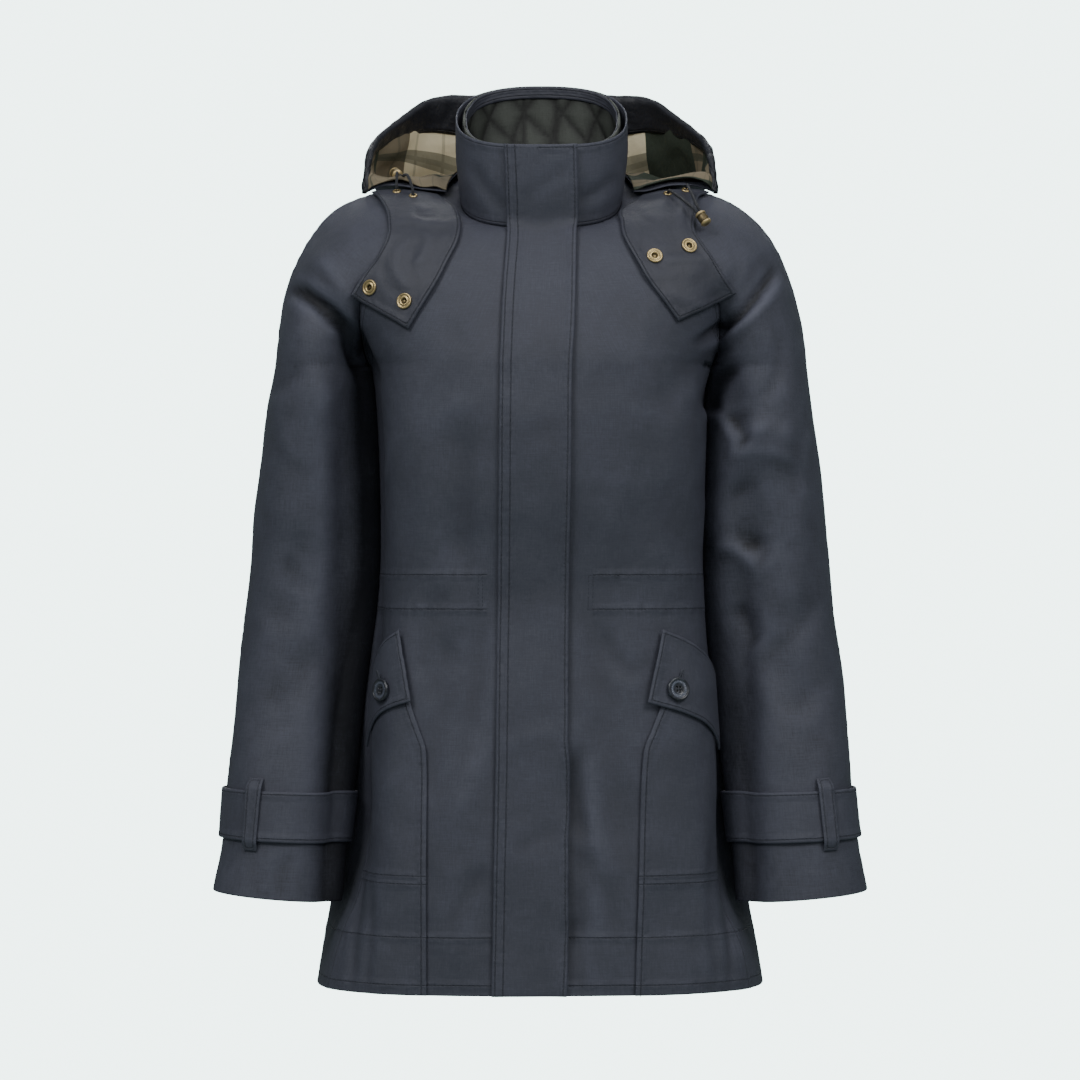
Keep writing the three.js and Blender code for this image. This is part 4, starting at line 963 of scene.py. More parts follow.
def cloth_material(name, colour, rubbed, deep, roughness, threads, clouds=0.5, specks=0.3, weave=0.25,
                   crumple=0.2, heather=0.5, insets=(), levels=(), ground=None):
    """Woven cloth: rubbed wear and painted shade, mottled and uneven yarn, weave, a fine crumple, and
    the grooves and puckers of its sewn lines. With a ground, a function that draws a pattern, its
    hollows are that, darker, as painted shade."""
    if name in bpy.data.materials:
        return bpy.data.materials[name]
    material = bpy.data.materials.new(name)
    material.use_nodes = True
    tree = material.node_tree
    shader = tree.nodes["Principled BSDF"]
    place = node(tree, "ShaderNodeTexCoord")
    # Each point's value of rubbed wear and painted shade.
    shade_and_wear = node(tree, "ShaderNodeAttribute", attribute_name="worn")
    if ground:
        colour = rubbed = ground(tree, place)
        deep = blended(tree, 1.0, colour, (0.6, 0.6, 0.6, 1), how="MULTIPLY")
    mottle = placed(tree, "mottle", [("Vector", place.outputs["Object"]), ("Clouds", clouds),
                                     ("Specks", specks)])
    yarn = placed(tree, "heather", [("UV", place.outputs["UV"])])
    tone = maths(tree, "MULTIPLY_ADD", yarn.outputs["Value"], heather, mottle.outputs["Value"])
    colours = placed(
        tree, "worn",
        [("Colour", colour), ("Rubbed", rubbed), ("Deep", deep), ("Worn", shade_and_wear.outputs["Fac"]),
         ("Mottle", tone)],
    )
    base = colours.outputs["Colour"]
    heights = [(noise(tree, place.outputs["Object"], 55, 5), crumple, 0.004)]
    if insets:
        line, near = sewn_lines(tree, place, insets, levels)
        base = blended(tree, maths(tree, "MULTIPLY", line, 0.42), base, scaled(deep, 0.45))
        ripple = noise(tree, place.outputs["Object"], 150, 1)
        heights += [(maths(tree, "MULTIPLY", ripple, near), 0.45, 0.0022),
                    (maths(tree, "SUBTRACT", 1.0, line), 0.7, 0.0007)]
    tree.links.new(base, shader.inputs["Base Color"])
    rough = ranged(tree, tone, -0.35, 0.35, roughness - 0.09, roughness + 0.09)
    tree.links.new(rough, shader.inputs["Roughness"])
    fabric = placed(tree, "weave", [("UV", place.outputs["UV"]), ("Threads", threads)])
    heights.append((fabric.outputs["Height"], weave, 0.0003))
    tree.links.new(bumped(tree, heights), shader.inputs["Normal"])
    shader.inputs["Specular IOR Level"].default_value = 0.42
    return material


def check_ground(tree, place):
    """A woven check of the builder's own: broad bands of one direction over those of the other, the
    darker one showing more, with thin dark lines at a smaller repeat."""
    sizes, colours = settings()
    uv = node(tree, "ShaderNodeSeparateXYZ", [(0, place.outputs["UV"])])
    tones, lines = [], []
    cream, tan, olive = colours.lining_cream, colours.lining_tan, colours.lining_olive
    bands = {
        "X": [(0.0, tan), (0.12, olive), (0.135, tan), (0.215, cream), (0.34, tan), (0.35, cream), (0.44, tan),
              (0.5, olive), (0.62, cream), (0.67, olive), (0.8, tan), (0.83, olive), (0.9, tan), (0.95, olive)],
        "Y": [(0.0, cream), (0.16, tan), (0.19, cream), (0.36, olive), (0.38, cream), (0.55, tan), (0.57, cream),
              (0.75, olive), (0.765, cream)],
    }
    for axis, stops in bands.items():
        for repeat, kept in ((sizes.check_repeat, tones), (sizes.check_repeat / 16, lines)):
            along = maths(tree, "MULTIPLY", uv.outputs[axis], 1 / repeat)
            kept.append(maths(tree, "FRACT", along))
        ramp = node(tree, "ShaderNodeValToRGB", [(0, tones.pop())])
        ramp.color_ramp.interpolation = "CONSTANT"
        for i, (position, colour) in enumerate(stops):
            stop = ramp.color_ramp.elements[i] if i < 2 else ramp.color_ramp.elements.new(position)
            stop.position, stop.color = position, (*colour, 1)
        tones.append(ramp.outputs["Color"])
    crossed = blended(tree, 0.62, *tones, how="DARKEN")
    narrow = [maths(tree, "GREATER_THAN", share, 0.9) for share in lines]
    faint = maths(tree, "MULTIPLY", maths(tree, "MAXIMUM", *narrow), 0.28)
    return blended(tree, faint, crossed, (*olive, 1))


HEM_LINES = ((-646, 0), (-687, 0))
CHANNEL = ((-332, 46), (-362, 46))
POCKET_LINES = ((-593, 0), (-600, 0), *HEM_LINES)


def waxed_material(kind="plain"):
    """The waxed cotton. Body and pocket have sewn lines at levels, the smooth one is that of the
    tabs and bindings, and the dark one, the same cloth much darker as painted shade, that of the
    hood's facing."""
    colour = (*settings()[1].waxed, 1)
    if kind == "smooth":
        return cloth_material("waxed_cotton_smooth", scaled(colour, 0.77), scaled(colour, 1.1),
                              scaled(colour, 0.47), 0.54, 1400, clouds=0.35, specks=0.15, weave=0.15,
                              crumple=0.3, heather=0.25, insets=(3,))
    # The hood's facing: the shell's own cloth at about a fifth of its brightness, as painted shade inside the
    # rim.
    if kind == "dark":
        return cloth_material("waxed_cotton_facing", scaled(colour, 0.22), scaled(colour, 0.5),
                              scaled(colour, 0.1), 0.42, 1400, clouds=0.4, specks=0.15, weave=0.15,
                              crumple=0.7, heather=0.2, insets=(3,))
    insets = {"plain": (3,), "sleeve": (2.5,), "pocket": (4.5,), "flap": (3, 10, 100)}.get(kind, (2.5, 8.5))
    levels = {"body": CHANNEL + HEM_LINES, "pocket": POCKET_LINES,
              "back": tuple((z, 0) for z, _ in CHANNEL) + HEM_LINES}.get(kind, ())
    # The sleeves' deep colour is darker, as painted shade on their inner sides and in their hollows.
    deep = scaled(colour, 0.28 if kind == "sleeve" else 0.68)
    return cloth_material(f"waxed_cotton_{kind}", colour, scaled(colour, 1.6), deep, 0.62, 1100,
                          insets=insets, levels=levels)


def plain_material(name, colour, roughness, metallic=0.0, deep=0.4, rubbed=1.35, bump=0.15, coat=0.0):
    """Metal, horn or thread: a colour that darkens in hollows, as patina in metal grooves and as painted shade
    in holes, and varies with a fine noise.
    """
    if name in bpy.data.materials:
        return bpy.data.materials[name]
    material = bpy.data.materials.new(name)
    material.use_nodes = True
    tree = material.node_tree
    shader = tree.nodes["Principled BSDF"]
    place = node(tree, "ShaderNodeTexCoord").outputs["Object"]
    # Each point's value of wear and painted shade.
    shade_and_wear = node(tree, "ShaderNodeAttribute", attribute_name="worn")
    mottle = placed(tree, "mottle", [("Vector", place), ("Clouds", 0.3), ("Specks", 0.3)])
    colours = placed(
        tree, "worn",
        [("Colour", (*colour, 1)), ("Rubbed", scaled(colour, rubbed)), ("Deep", scaled(colour, deep)),
         ("Worn", shade_and_wear.outputs["Fac"]), ("Mottle", mottle.outputs["Value"])],
    )
    tree.links.new(colours.outputs["Colour"], shader.inputs["Base Color"])
    fine = noise(tree, place, 300, 3)
    rough = ranged(tree, fine, 0.0, 1.0, roughness - 0.08, roughness + 0.1)
    tree.links.new(rough, shader.inputs["Roughness"])
    tree.links.new(bumped(tree, [(fine, bump, 0.0004)]), shader.inputs["Normal"])
    shader.inputs["Metallic"].default_value = metallic
    shader.inputs["Coat Weight"].default_value = coat
    return material


def sew(name, lines):
    """Stitches along lines as small four-sided threads with narrow ends, one object in all."""
    sizes, colours = settings()
    pitch = (sizes.stitch_length + sizes.stitch_gap) / MM
    length, radius = sizes.stitch_length / MM, sizes.thread / MM / 2
    centres, alongs, ups = [], [], []
    for points, normals in lines:
        way = np.concatenate([[0], np.cumsum(np.linalg.norm(np.diff(points, axis=0), axis=1))])
        at = np.arange(pitch / 2, way[-1], pitch)
        if len(at) < 2:
            continue

        def sample(values, where, way=way):
            return np.stack([np.interp(where, way, values[:, k]) for k in range(3)], -1)

        centres.append(sample(points, at))
        alongs.append(unit(sample(points, at + 0.8) - sample(points, at - 0.8)))
        ups.append(sample(normals, at))
    centre, along, up = (np.concatenate(part) for part in (centres, alongs, ups))
    beside = unit(np.cross(along, up))
    up = np.cross(beside, along)
    sections = np.array([[-0.5, 0.35, -0.35], [-0.3, 1, 0.25], [0.3, 1, 0.25], [0.5, 0.35, -0.35]])
    corners = np.array([[1, 0], [0, 1], [-1, 0], [0, -1]])
    shape = np.array([
        [at * length, radius * size * a, radius * (size * b + rise)]
        for at, size, rise in sections for a, b in corners
    ])
    points = (
        centre[:, None] + along[:, None] * shape[None, :, :1]
        + beside[:, None] * shape[None, :, 1:2] + up[:, None] * shape[None, :, 2:]
    ).reshape(-1, 3)
    index = np.arange(16).reshape(4, 4)
    index = np.hstack([index, index[:, :1]])
    one = np.concatenate([quads_of(index)[:, ::-1], [[0, 1, 2, 3], [15, 14, 13, 12]]])
    a, b, c = (shape[one[0, k]] for k in (0, 1, 2))
    if np.dot(np.cross(b - a, c - a), (a + c) / 2) < 0:
        one = one[:, ::-1]
    faces = (one[None] + 16 * np.arange(len(centre))[:, None, None]).reshape(-1, 4)
    uvs = np.tile(np.array([[0, 0], [1, 0], [1, 1], [0, 1]], float), (len(faces), 1))
    material = plain_material("sewing_thread", colours.thread, 0.6, bump=0.05)
    return new_piece(name, points, faces, uvs, np.full(len(points), 0.5), material)


def inset_line(surface, edge, distance, height, start=0.0, stop=1.0):
    """A line at a distance from one edge of a surface (left, right, top or bottom), and at a
    height over it, between two shares of the edge's length."""
    points, normals = surface.points, surface.normals
    if edge in ("top", "bottom"):
        points, normals = points.swapaxes(0, 1), normals.swapaxes(0, 1)
    if edge in ("right", "bottom"):
        points, normals = points[:, ::-1], normals[:, ::-1]
    way = np.hstack([
        np.zeros((len(points), 1)), np.cumsum(np.linalg.norm(np.diff(points, axis=1), axis=2), 1),
    ])
    j = np.clip((way < distance).sum(1) - 1, 0, way.shape[1] - 2)
    i = np.arange(len(points))
    t = ((distance - way[i, j]) / (way[i, j + 1] - way[i, j]))[:, None]
    line = mix(points[i, j], points[i, j + 1], t)
    first, last = int(start * (len(line) - 1)), int(stop * (len(line) - 1)) + 1
    normals = mix(normals[i, j], normals[i, j + 1], t)
    return (line + normals * height)[first:last], normals[first:last]


def turned(name, profile, seat, material, nodes, segments=40, shape=None):
    """A turned body: a ring of points for each radius, height, and wear and painted shade of the
    profile, about the normal of its seat, closed at both ends. shape gives a height to add and the
    wear and painted shade there, from the place across the axis and its height."""
    place, n = seat
    side = unit(np.cross(n, [0.0, 0.0, 1.0]))
    up = np.cross(side, n)
    radius, height, worn = np.array(profile, float).T
    angle = np.linspace(0, 2 * math.pi, segments, endpoint=False)
    x, y = radius[:, None] * np.cos(angle), radius[:, None] * np.sin(angle)
    z, shade_and_wear = height[:, None] + 0 * x, worn[:, None] + 0 * x
    if shape:
        z, shade_and_wear = shape(x, y, z, shade_and_wear)
    points = place + x[..., None] * side + y[..., None] * up + z[..., None] * n
    points = points.reshape(-1, 3)
    index = np.arange(len(radius) * segments).reshape(-1, segments)
    half = segments // 2
    caps = [np.stack([r[:half - 1], r[1:half], r[::-1][1:half], r[::-1][:half - 1]], -1)
            for r in (index[0], index[-1])]
    faces = np.concatenate([quads_of(np.hstack([index, index[:, :1]])), *caps])
    uv = np.stack([x.ravel(), y.ravel()], -1)
    piece = new_piece(name, points, faces, uv[faces].reshape(-1, 2), shade_and_wear.ravel(), material, nodes)
    turn_outwards(piece.data)
    return piece


def turn_outwards(mesh):
    """Turns a closed mesh's faces outwards."""
    work = bmesh.new()
    work.from_mesh(mesh)
    bmesh.ops.recalc_face_normals(work, faces=work.faces)
    work.to_mesh(mesh)
    work.free()


def seat_on(node_name, surface, height):
    """Where a small CAD piece sits on a scene surface: below its own middle, and the normal there."""
    low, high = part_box(node_name)
    centre = (np.array(low) + np.array(high)) / 2 / MM
    points, normals = surface.points.reshape(-1, 3), surface.normals.reshape(-1, 3)
    near = ((points - centre) ** 2).sum(-1).argmin()
    n = normals[near]
    off = centre - points[near]
    return points[near] + off - n * np.dot(off, n) + n * height, n


def tube(name, route, diameter, material, nodes=()):
    """A round cord through a route: rings of twelve points across its direction."""
    route = np.array(route, float)
    way = np.concatenate([[0], np.cumsum(np.linalg.norm(np.diff(route, axis=0), axis=1))])
    table = np.concatenate([way[:, None], route], 1)
    at = np.linspace(0, way[-1], int(np.clip(way[-1] / 1.2, 24, 40)))
    line = table_at(table, at).T
    along = unit(np.gradient(line, axis=0))
    side = unit(np.cross(along, [0.3, 0.2, 1.0]))
    up = np.cross(side, along)
    angle = np.linspace(0, 2 * math.pi, 12, endpoint=False)
    points = (
        line[:, None] + side[:, None] * np.cos(angle)[None, :, None] * diameter / 2
        + up[:, None] * np.sin(angle)[None, :, None] * diameter / 2
    )
    rows, columns = points.shape[:2]
    index = np.arange(rows * columns).reshape(rows, columns)
    faces = quads_of(np.hstack([index, index[:, :1]]))
    caps = [np.stack([r[:5], r[1:6], r[::-1][1:6], r[::-1][:5]], -1) for r in (index[0], index[-1, ::-1])]
    faces = np.concatenate([faces, *caps])
    uv = np.stack(np.broadcast_arrays(angle[None] * diameter / 2, at[:, None]), -1).reshape(-1, 2)
    piece = new_piece(name, points.reshape(-1, 3), faces, uv[faces].reshape(-1, 2),
                      np.full(rows * columns, 0.5), material, nodes)
    turn_outwards(piece.data)
    return piece, line


class JacketSizes(bpy.types.PropertyGroup):
    """Sizes that a user would change."""

    crease: bpy.props.FloatProperty(
        name="Crease strength", description="Strength of the fine creases", default=1.0)
    stitch_length: bpy.props.FloatProperty(
        name="Stitch", description="Length of one stitch", default=0.0024, unit="LENGTH")
    stitch_gap: bpy.props.FloatProperty(
        name="Gap", description="Gap between two stitches", default=0.0011, unit="LENGTH")
    thread: bpy.props.FloatProperty(
        name="Thread", description="Diameter of the sewing thread", default=0.0005, unit="LENGTH")
    quilt: bpy.props.FloatProperty(
        name="Quilting", description="Width of a quilted diamond", default=0.036, unit="LENGTH")
    check_repeat: bpy.props.FloatProperty(
        name="Check", description="Repeat of the lining's check", default=0.5, unit="LENGTH")


class JacketColours(bpy.types.PropertyGroup):
    """Colours that a user would change."""

    waxed: bpy.props.FloatVectorProperty(
        name="Waxed cotton", description="Outer cloth", subtype="COLOR", default=(0.0575, 0.061, 0.083))
    quilted: bpy.props.FloatVectorProperty(
        name="Quilting", description="Quilted collar lining", subtype="COLOR", default=(0.032, 0.036, 0.031))
    lining_cream: bpy.props.FloatVectorProperty(
        name="Cream", description="Pale tone of the check", subtype="COLOR", default=(0.88, 0.78, 0.54))
    lining_tan: bpy.props.FloatVectorProperty(
        name="Tan", description="Middle tone of the check", subtype="COLOR", default=(0.21, 0.175, 0.115))
    lining_olive: bpy.props.FloatVectorProperty(
        name="Olive", description="Dark tone of the check", subtype="COLOR", default=(0.038, 0.050, 0.034))
    brass: bpy.props.FloatVectorProperty(
        name="Brass", description="Press studs and eyelets", subtype="COLOR", default=(0.52, 0.40, 0.20))
    nickel: bpy.props.FloatVectorProperty(
        name="Nickel", description="Side stud", subtype="COLOR", default=(0.33, 0.32, 0.30))
    horn: bpy.props.FloatVectorProperty(
        name="Horn", description="Buttons", subtype="COLOR", default=(0.016, 0.018, 0.024))
    cord: bpy.props.FloatVectorProperty(
        name="Cord", description="Hood drawcord", subtype="COLOR", default=(0.05, 0.052, 0.06))
    thread: bpy.props.FloatVectorProperty(
        name="Thread", description="Sewing thread", subtype="COLOR", default=(0.04, 0.045, 0.06))


class JacketStage(bpy.types.PropertyGroup):
    """Camera, floor and lights."""

    distance: bpy.props.FloatProperty(
        name="Camera distance", description="From the camera to the jacket's middle", default=3.2, unit="LENGTH")
    height: bpy.props.FloatProperty(
        name="Camera height", description="Height of the level camera", default=-0.3015, unit="LENGTH")
    view_width: bpy.props.FloatProperty(
        name="View width", description="Width seen at the jacket's middle", default=0.972, unit="LENGTH")
    floor: bpy.props.FloatProperty(
        name="Floor", description="Height of the floor", default=-1.42, unit="LENGTH")
    glow: bpy.props.FloatProperty(
        name="Glow", description="Brightness of the backdrop to the camera", default=6.0)
    paper: bpy.props.FloatVectorProperty(
        name="Backdrop", description="Backdrop and floor", subtype="COLOR", default=(0.70, 0.86, 0.83))


class JACKET_OT_stage(bpy.types.Operator):
    """Camera at the photograph's angle, swept floor and backdrop, and soft lights"""

    bl_idname = "jacket.stage"
    bl_label = "Stage"

    def execute(self, context):
        stage = context.scene.jacket_stage
        camera = bpy.data.objects.new("camera", bpy.data.cameras.new("camera"))
        camera.data.sensor_width = 36
        camera.data.lens = 36 * stage.distance / stage.view_width
        camera.location = (0, -stage.distance, stage.height)
        camera.rotation_euler = (math.radians(90), 0, 0)
        context.scene.collection.objects.link(camera)
        context.scene.camera = camera

        # The floor turns up into the backdrop along a quarter circle.
        radius, back, front, wide, top = 2.0, 8.0, -10.0, 14.0, 14.0
        turn = np.linspace(0, math.pi / 2, 16)
        sweep = np.stack([back - radius + radius * np.sin(turn), radius - radius * np.cos(turn)], -1)
        profile = np.concatenate([[[front, 0]], sweep, [[back, top]]])
        xs = np.linspace(-wide, wide, 3)
        grid = np.stack(np.broadcast_arrays(xs[None], profile[:, :1], profile[:, 1:] + stage.floor), -1)
        mesh = bpy.data.meshes.new("backdrop")
        index = np.arange(len(profile) * 3).reshape(-1, 3)
        mesh.from_pydata(grid.reshape(-1, 3).tolist(), [], quads_of(index).tolist())
        mesh.polygons.foreach_set("use_smooth", np.ones(len(mesh.polygons), bool))
        backdrop = bpy.data.objects.new("backdrop", mesh)
        context.scene.collection.objects.link(backdrop)
        paper = bpy.data.materials.new("paper")
        paper.use_nodes = True
        shader = paper.node_tree.nodes["Principled BSDF"]
        shader.inputs["Base Color"].default_value = scaled(stage.paper, 0.25)
        shader.inputs["Roughness"].default_value = 0.9
        shader.inputs["Emission Color"].default_value = (*stage.paper, 1)
        # The backdrop glows for the camera alone, so that it doesn't light the jacket from behind.
        seen = node(paper.node_tree, "ShaderNodeLightPath").outputs["Is Camera Ray"]
        glow = ranged(paper.node_tree, seen, 0.0, 1.0, 0.15, stage.glow)
        paper.node_tree.links.new(glow, shader.inputs["Emission Strength"])
        mesh.materials.append(paper)

        lights = [
            ("key", (-1.7, -2.3, 2.1), 1.3, 48), ("fill", (1.8, -2.4, 2.0), 1.6, 48),
            ("front", (0, -3.6, 0.6), 2.0, 8), ("top", (0.2, -0.8, 2.8), 1.8, 14),
            ("back", (0, 2.8, 1.6), 2.2, 45),
        ]
        for name, place, size, energy in lights:
            light = bpy.data.lights.new(name, "AREA")
            light.size, light.energy = size, energy
            lamp = bpy.data.objects.new(name, light)
            lamp.location = place
            aim = np.array([0, 0, -0.3]) - np.array(place)
            lamp.rotation_euler = (math.acos(-aim[2] / np.linalg.norm(aim)), 0, math.atan2(-aim[0], aim[1]))
            context.scene.collection.objects.link(lamp)
        world = bpy.data.worlds.new("world")
        world.use_nodes = True
        world.node_tree.nodes["Background"].inputs["Color"].default_value = (0.82, 0.86, 0.88, 1)
        world.node_tree.nodes["Background"].inputs["Strength"].default_value = 0.2
        context.scene.world = world
        return {"FINISHED"}


# Routes of the drawcord's strands, in metres, from eyelet to lock, as in the CAD.
STRANDS = {
    "right_1": [(-0.1287, -0.0087, 0.0132), (-0.1287, -0.0103, 0.0164), (-0.1286, -0.0101, 0.0199),
                (-0.1285, -0.0095, 0.0235), (-0.1285, -0.0082, 0.0268), (-0.1285, -0.0054, 0.0286),
                (-0.1284, -0.0019, 0.0278), (-0.1284, 0.0015, 0.0266), (-0.1287, 0.0050, 0.0260),
                (-0.1298, 0.0082, 0.0271)],
    "right_2": [(-0.1135, -0.0193, 0.0064), (-0.1137, -0.0204, 0.0109), (-0.1149, -0.0186, 0.0155),
                (-0.1162, -0.0163, 0.0197), (-0.1177, -0.0134, 0.0236), (-0.1194, -0.0095, 0.0261),
                (-0.1212, -0.0048, 0.0267), (-0.1228, -0.0001, 0.0265), (-0.1245, 0.0047, 0.0264),
                (-0.1260, 0.0093, 0.0277)],
    "left_1": [(0.1145, -0.0140, 0.0091), (0.1156, -0.0186, 0.0114), (0.1184, -0.0243, 0.0091),
               (0.1213, -0.0297, 0.0064), (0.1242, -0.0351, 0.0035), (0.1270, -0.0406, 0.0008),
               (0.1298, -0.0460, -0.0020), (0.1326, -0.0514, -0.0050), (0.1356, -0.0565, -0.0082),
               (0.1389, -0.0598, -0.0129)],
    "left_2": [(0.1314, -0.0059, 0.0151), (0.1319, -0.0113, 0.0170), (0.1330, -0.0176, 0.0141),
               (0.1341, -0.0238, 0.0108), (0.1352, -0.0299, 0.0074), (0.1362, -0.0361, 0.0041),
               (0.1371, -0.0422, 0.0007), (0.1381, -0.0483, -0.0028), (0.1393, -0.0542, -0.0066),
               (0.1421, -0.0579, -0.0116)],
}
CORD = 0.0026


class JACKET_OT_drawcords(bpy.types.Operator):
    """Hood drawcord strands with their cord locks"""

    bl_idname = "jacket.drawcords"
    bl_label = "Drawcords"

    def execute(self, context):
        colours = settings()[1]
        braid = cloth_material("braided_cord", (*colours.cord, 1), scaled(colours.cord, 1.8),
                               scaled(colours.cord, 0.4), 0.65, 900, clouds=0.2, weave=0.9, crumple=0.1)
        brassy = plain_material("cord_lock_metal", colours.brass, 0.42, metallic=0.65, deep=0.15)
        axes = {"right": (0.3, -0.9, -0.3), "left": (-0.5, 0.35, 0.75)}
        profile = [
            (0.6, -6.5, 0.2), (2.4, -6.5, 0.4), (4.2, -6.0, 0.6), (4.9, -5.0, 0.8), (4.9, -4.0, 0.7),
            (4.2, -3.6, 0.05), (4.5, -2.0, 0.12), (4.6, 0, 0.15), (4.5, 2.0, 0.12), (4.2, 3.6, 0.05),
            (4.9, 4.0, 0.7), (4.9, 5.0, 0.8), (4.2, 6.0, 0.6), (2.4, 6.5, 0.4), (0.6, 6.5, 0.2),
        ]
        for side, axis in axes.items():
            low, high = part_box(f"cord_lock_{side}")
            seat = ((np.array(low) + np.array(high)) / 2 / MM, unit(np.array(axis)))
            lock = turned(f"lock_{side}", profile, seat, brassy, (f"cord_lock_{side}",))
            for strand in ("1", "2"):
                name = f"{side}_{strand}"
                piece, line = tube(f"strand_{name}", np.array(STRANDS[name]) / MM, CORD / MM, braid,
                                   (f"drawcord_{name}",))
        return {"FINISHED"}


class JACKET_OT_body(bpy.types.Operator):
    """Fronts and back with their creases"""

    bl_idname = "jacket.body"
    bl_label = "Body"

    def execute(self, context):
        build_shell()
        for side in SIDES:
            surface = SHELL["front", side]
            across = surface.lengths()[0]
            cloth_piece(f"front_cloth_{side}", surface, -CLOTH, 0, waxed_material("body"),
                        nodes=(f"front_{side}",), sewn=across[:, -1:] - across)
        back = joined_back()
        across = back.lengths()[0]
        cloth_piece("back_cloth", back, -CLOTH, 0, waxed_material("back"), nodes=("back",),
                    sewn=np.minimum(across, across[:, -1:] - across))
        yoke_end = ROWS["yoke"] / len(back.vs)
        lines = [inset_line(SHELL[kind, side], "right", inset, 0.1, 0.03, yoke_end)
                 for kind in ("front", "back") for side in SIDES for inset in (2.5, 8.5)]
        for side in SIDES:
            for level, least in CHANNEL + HEM_LINES:
                u = np.linspace(share_of(np.array(max(least, 34.0)), np.array(float(level))), 0.97, 60)
                lines.append(on_front(side, u, np.full(60, float(level))))
            for x in (46.0, 50.0):
                z = np.linspace(-332.0, -362.0, 10)
                lines.append(on_front(side, share_of(np.full(10, x), z), z))
        for level, _ in CHANNEL + HEM_LINES:
            v = 1 + (UNDERARM - level) / (UNDERARM - HEM)
            lines.append(back.at(np.linspace(-0.97, 0.97, 160), np.full(160, v)))
        sew("body_stitches", lines)
        return {"FINISHED"}


class JACKET_OT_sleeves(bpy.types.Operator):
    """Two-piece raglan sleeves with their creases"""

    bl_idname = "jacket.sleeves"
    bl_label = "Sleeves"

    def execute(self, context):
        build_shell()
        for side in SIDES:
            for kind in ("sleeve_front", "sleeve_back"):
                surface = SHELL[kind, side]
                across = surface.lengths()[0]
                # Painted shade: the inner side of each sleeve, next to the body, is darkened from the underarm
                # down, fully on the wearer's right sleeve and less on the left.
                inner = ease(1 - across / 62) * ease((surface.vs[:, None] - 0.94) / 0.1)
                cloth_piece(f"{kind}_cloth_{side}", surface, -CLOTH, 0, waxed_material("sleeve"),
                            nodes=(f"{kind}_{side}",), worn=(-0.35 if side == "left" else -1.0) * inner,
                            sewn=across[:, -1:] - across)
        return {"FINISHED"}


class JACKET_OT_collar(bpy.types.Operator):
    """Stand collar with its quilted lining and binding"""

    bl_idname = "jacket.collar"
    bl_label = "Collar"

    def execute(self, context):
        sizes, colours = settings()
        outer = collar_surface(120, stations(0, 1, 22, 72))
        across, down = outer.lengths()
        x, y, z = np.moveaxis(outer.points, -1, 0)
        height = 0.3 * undulation(outer.points, 3, 30, 80) + pucker(down - 3, across, 6, 0.2, 11, 0.5)
        outer.points = outer.moved(height - crease_depth(TRIM_CREASES, -1, x, z) * ease(-y / 20))
        outer.refresh()
        cloth_piece("collar_cloth", outer, -CLOTH, 0, waxed_material(), nodes=("collar",))

        # Diamond quilting: the lesser distance to two sets of slanting lines swells the cloth.
        inner = collar_surface(240, stations(0.004, 0.998, 40, 72))
        across, down = inner.lengths()
        pitch = sizes.quilt / MM
        slants = [np.abs(np.sin(math.pi * (across + sign * 0.72 * down) / pitch)) for sign in (1, -1)]
        swell = 1.5 * np.minimum(*slants) ** 0.55
        for seam in (-15.0, 15.0):
            near_seam = np.exp(-((inner.points[..., 0] - seam) / 2.0) ** 2)
            swell = swell * (1 - near_seam * (inner.points[..., 1] > 0))
        aside = 4.0 * np.sin(np.radians(inner.us)) ** 2 * ease((1 - inner.vs[:, None]) / 0.8)
        quilt = cloth_material("quilting", (*colours.quilted, 1), scaled(colours.quilted, 1.9),
                               scaled(colours.quilted, 0.2), 0.6, 1500, clouds=0.3, crumple=0.2)
        lower = -CLOTH - 2.2 - 0.9 * swell - aside
        # The diamonds' puffs are paler and the sewn valleys between them darker, as painted shade.
        cloth_piece("collar_quilt", inner, lower, -CLOTH - 0.4 - aside, quilt,
                    nodes=("collar_lining",), worn=1.1 * (swell / 1.5 - 0.62))
        bound = collar_surface(160, stations(0.01, 0.17, 7, 12))
        aside = 4.0 * np.sin(np.radians(bound.us)) ** 2 + 0.3 * undulation(bound.points, 13, 12, 40)
        cloth_piece("collar_bound_edge", bound, -CLOTH - 4.4 - aside, -CLOTH - 2.9 - aside,
                    waxed_material("smooth"), nodes=("collar_binding",))
        return {"FINISHED"}


def storm_surface():
    """The storm flap's grid over collar and fronts, softened where it crosses the neck seam."""
    rows = np.concatenate([np.linspace(0, 1, 20)[:-1], np.linspace(1, 2, 44)[:-1], np.linspace(2, 3, 138)])
    rows = np.sort(np.concatenate([rows, [0.007, 0.02, 2.9975, 2.999]]))
    shares = stations(0, 1, 18, 64)
    left, right = table_at(FLAP_SIDES, rows)
    x = mix(left[:, None], right[:, None], shares[None])
    v = np.broadcast_to(rows[:, None], x.shape)
    on_fronts, _ = front_at(x, np.clip(v - 1, 0, 2))
    collar = collar_surface(400, np.linspace(0, 1, 30))
    middle = collar.at(0 * x + 0.5, v)[0][..., 0]
    found = []
    for turned_ in (False, True):
        low, high = 0 * x + 0.5, 0 * x + 60
        for _ in range(24):
            d = (low + high) / 2
            p = collar.at(360 - d if turned_ else d, v)[0][..., 0]
            beyond = np.abs(p - middle) > np.abs(x - middle)
            low, high = np.where(beyond, low, d), np.where(beyond, d, high)
        found.append(collar.at(360 - low if turned_ else low, np.clip(v, 0, 1))[0])
    on_collar = np.where((x < middle)[..., None], found[0], found[1])
    points = np.where((v < 1)[..., None], on_collar, on_fronts)
    soft = smoothed(points, 0, 14)
    near_seam = np.exp(-(((rows - 1) / 0.16) ** 2))[:, None, None]
    points = mix(points, soft, near_seam)
    points = smoothed(points, 1, 2)
    surface = Surface(points, shares, rows, (0, -1, 0))
    return surface


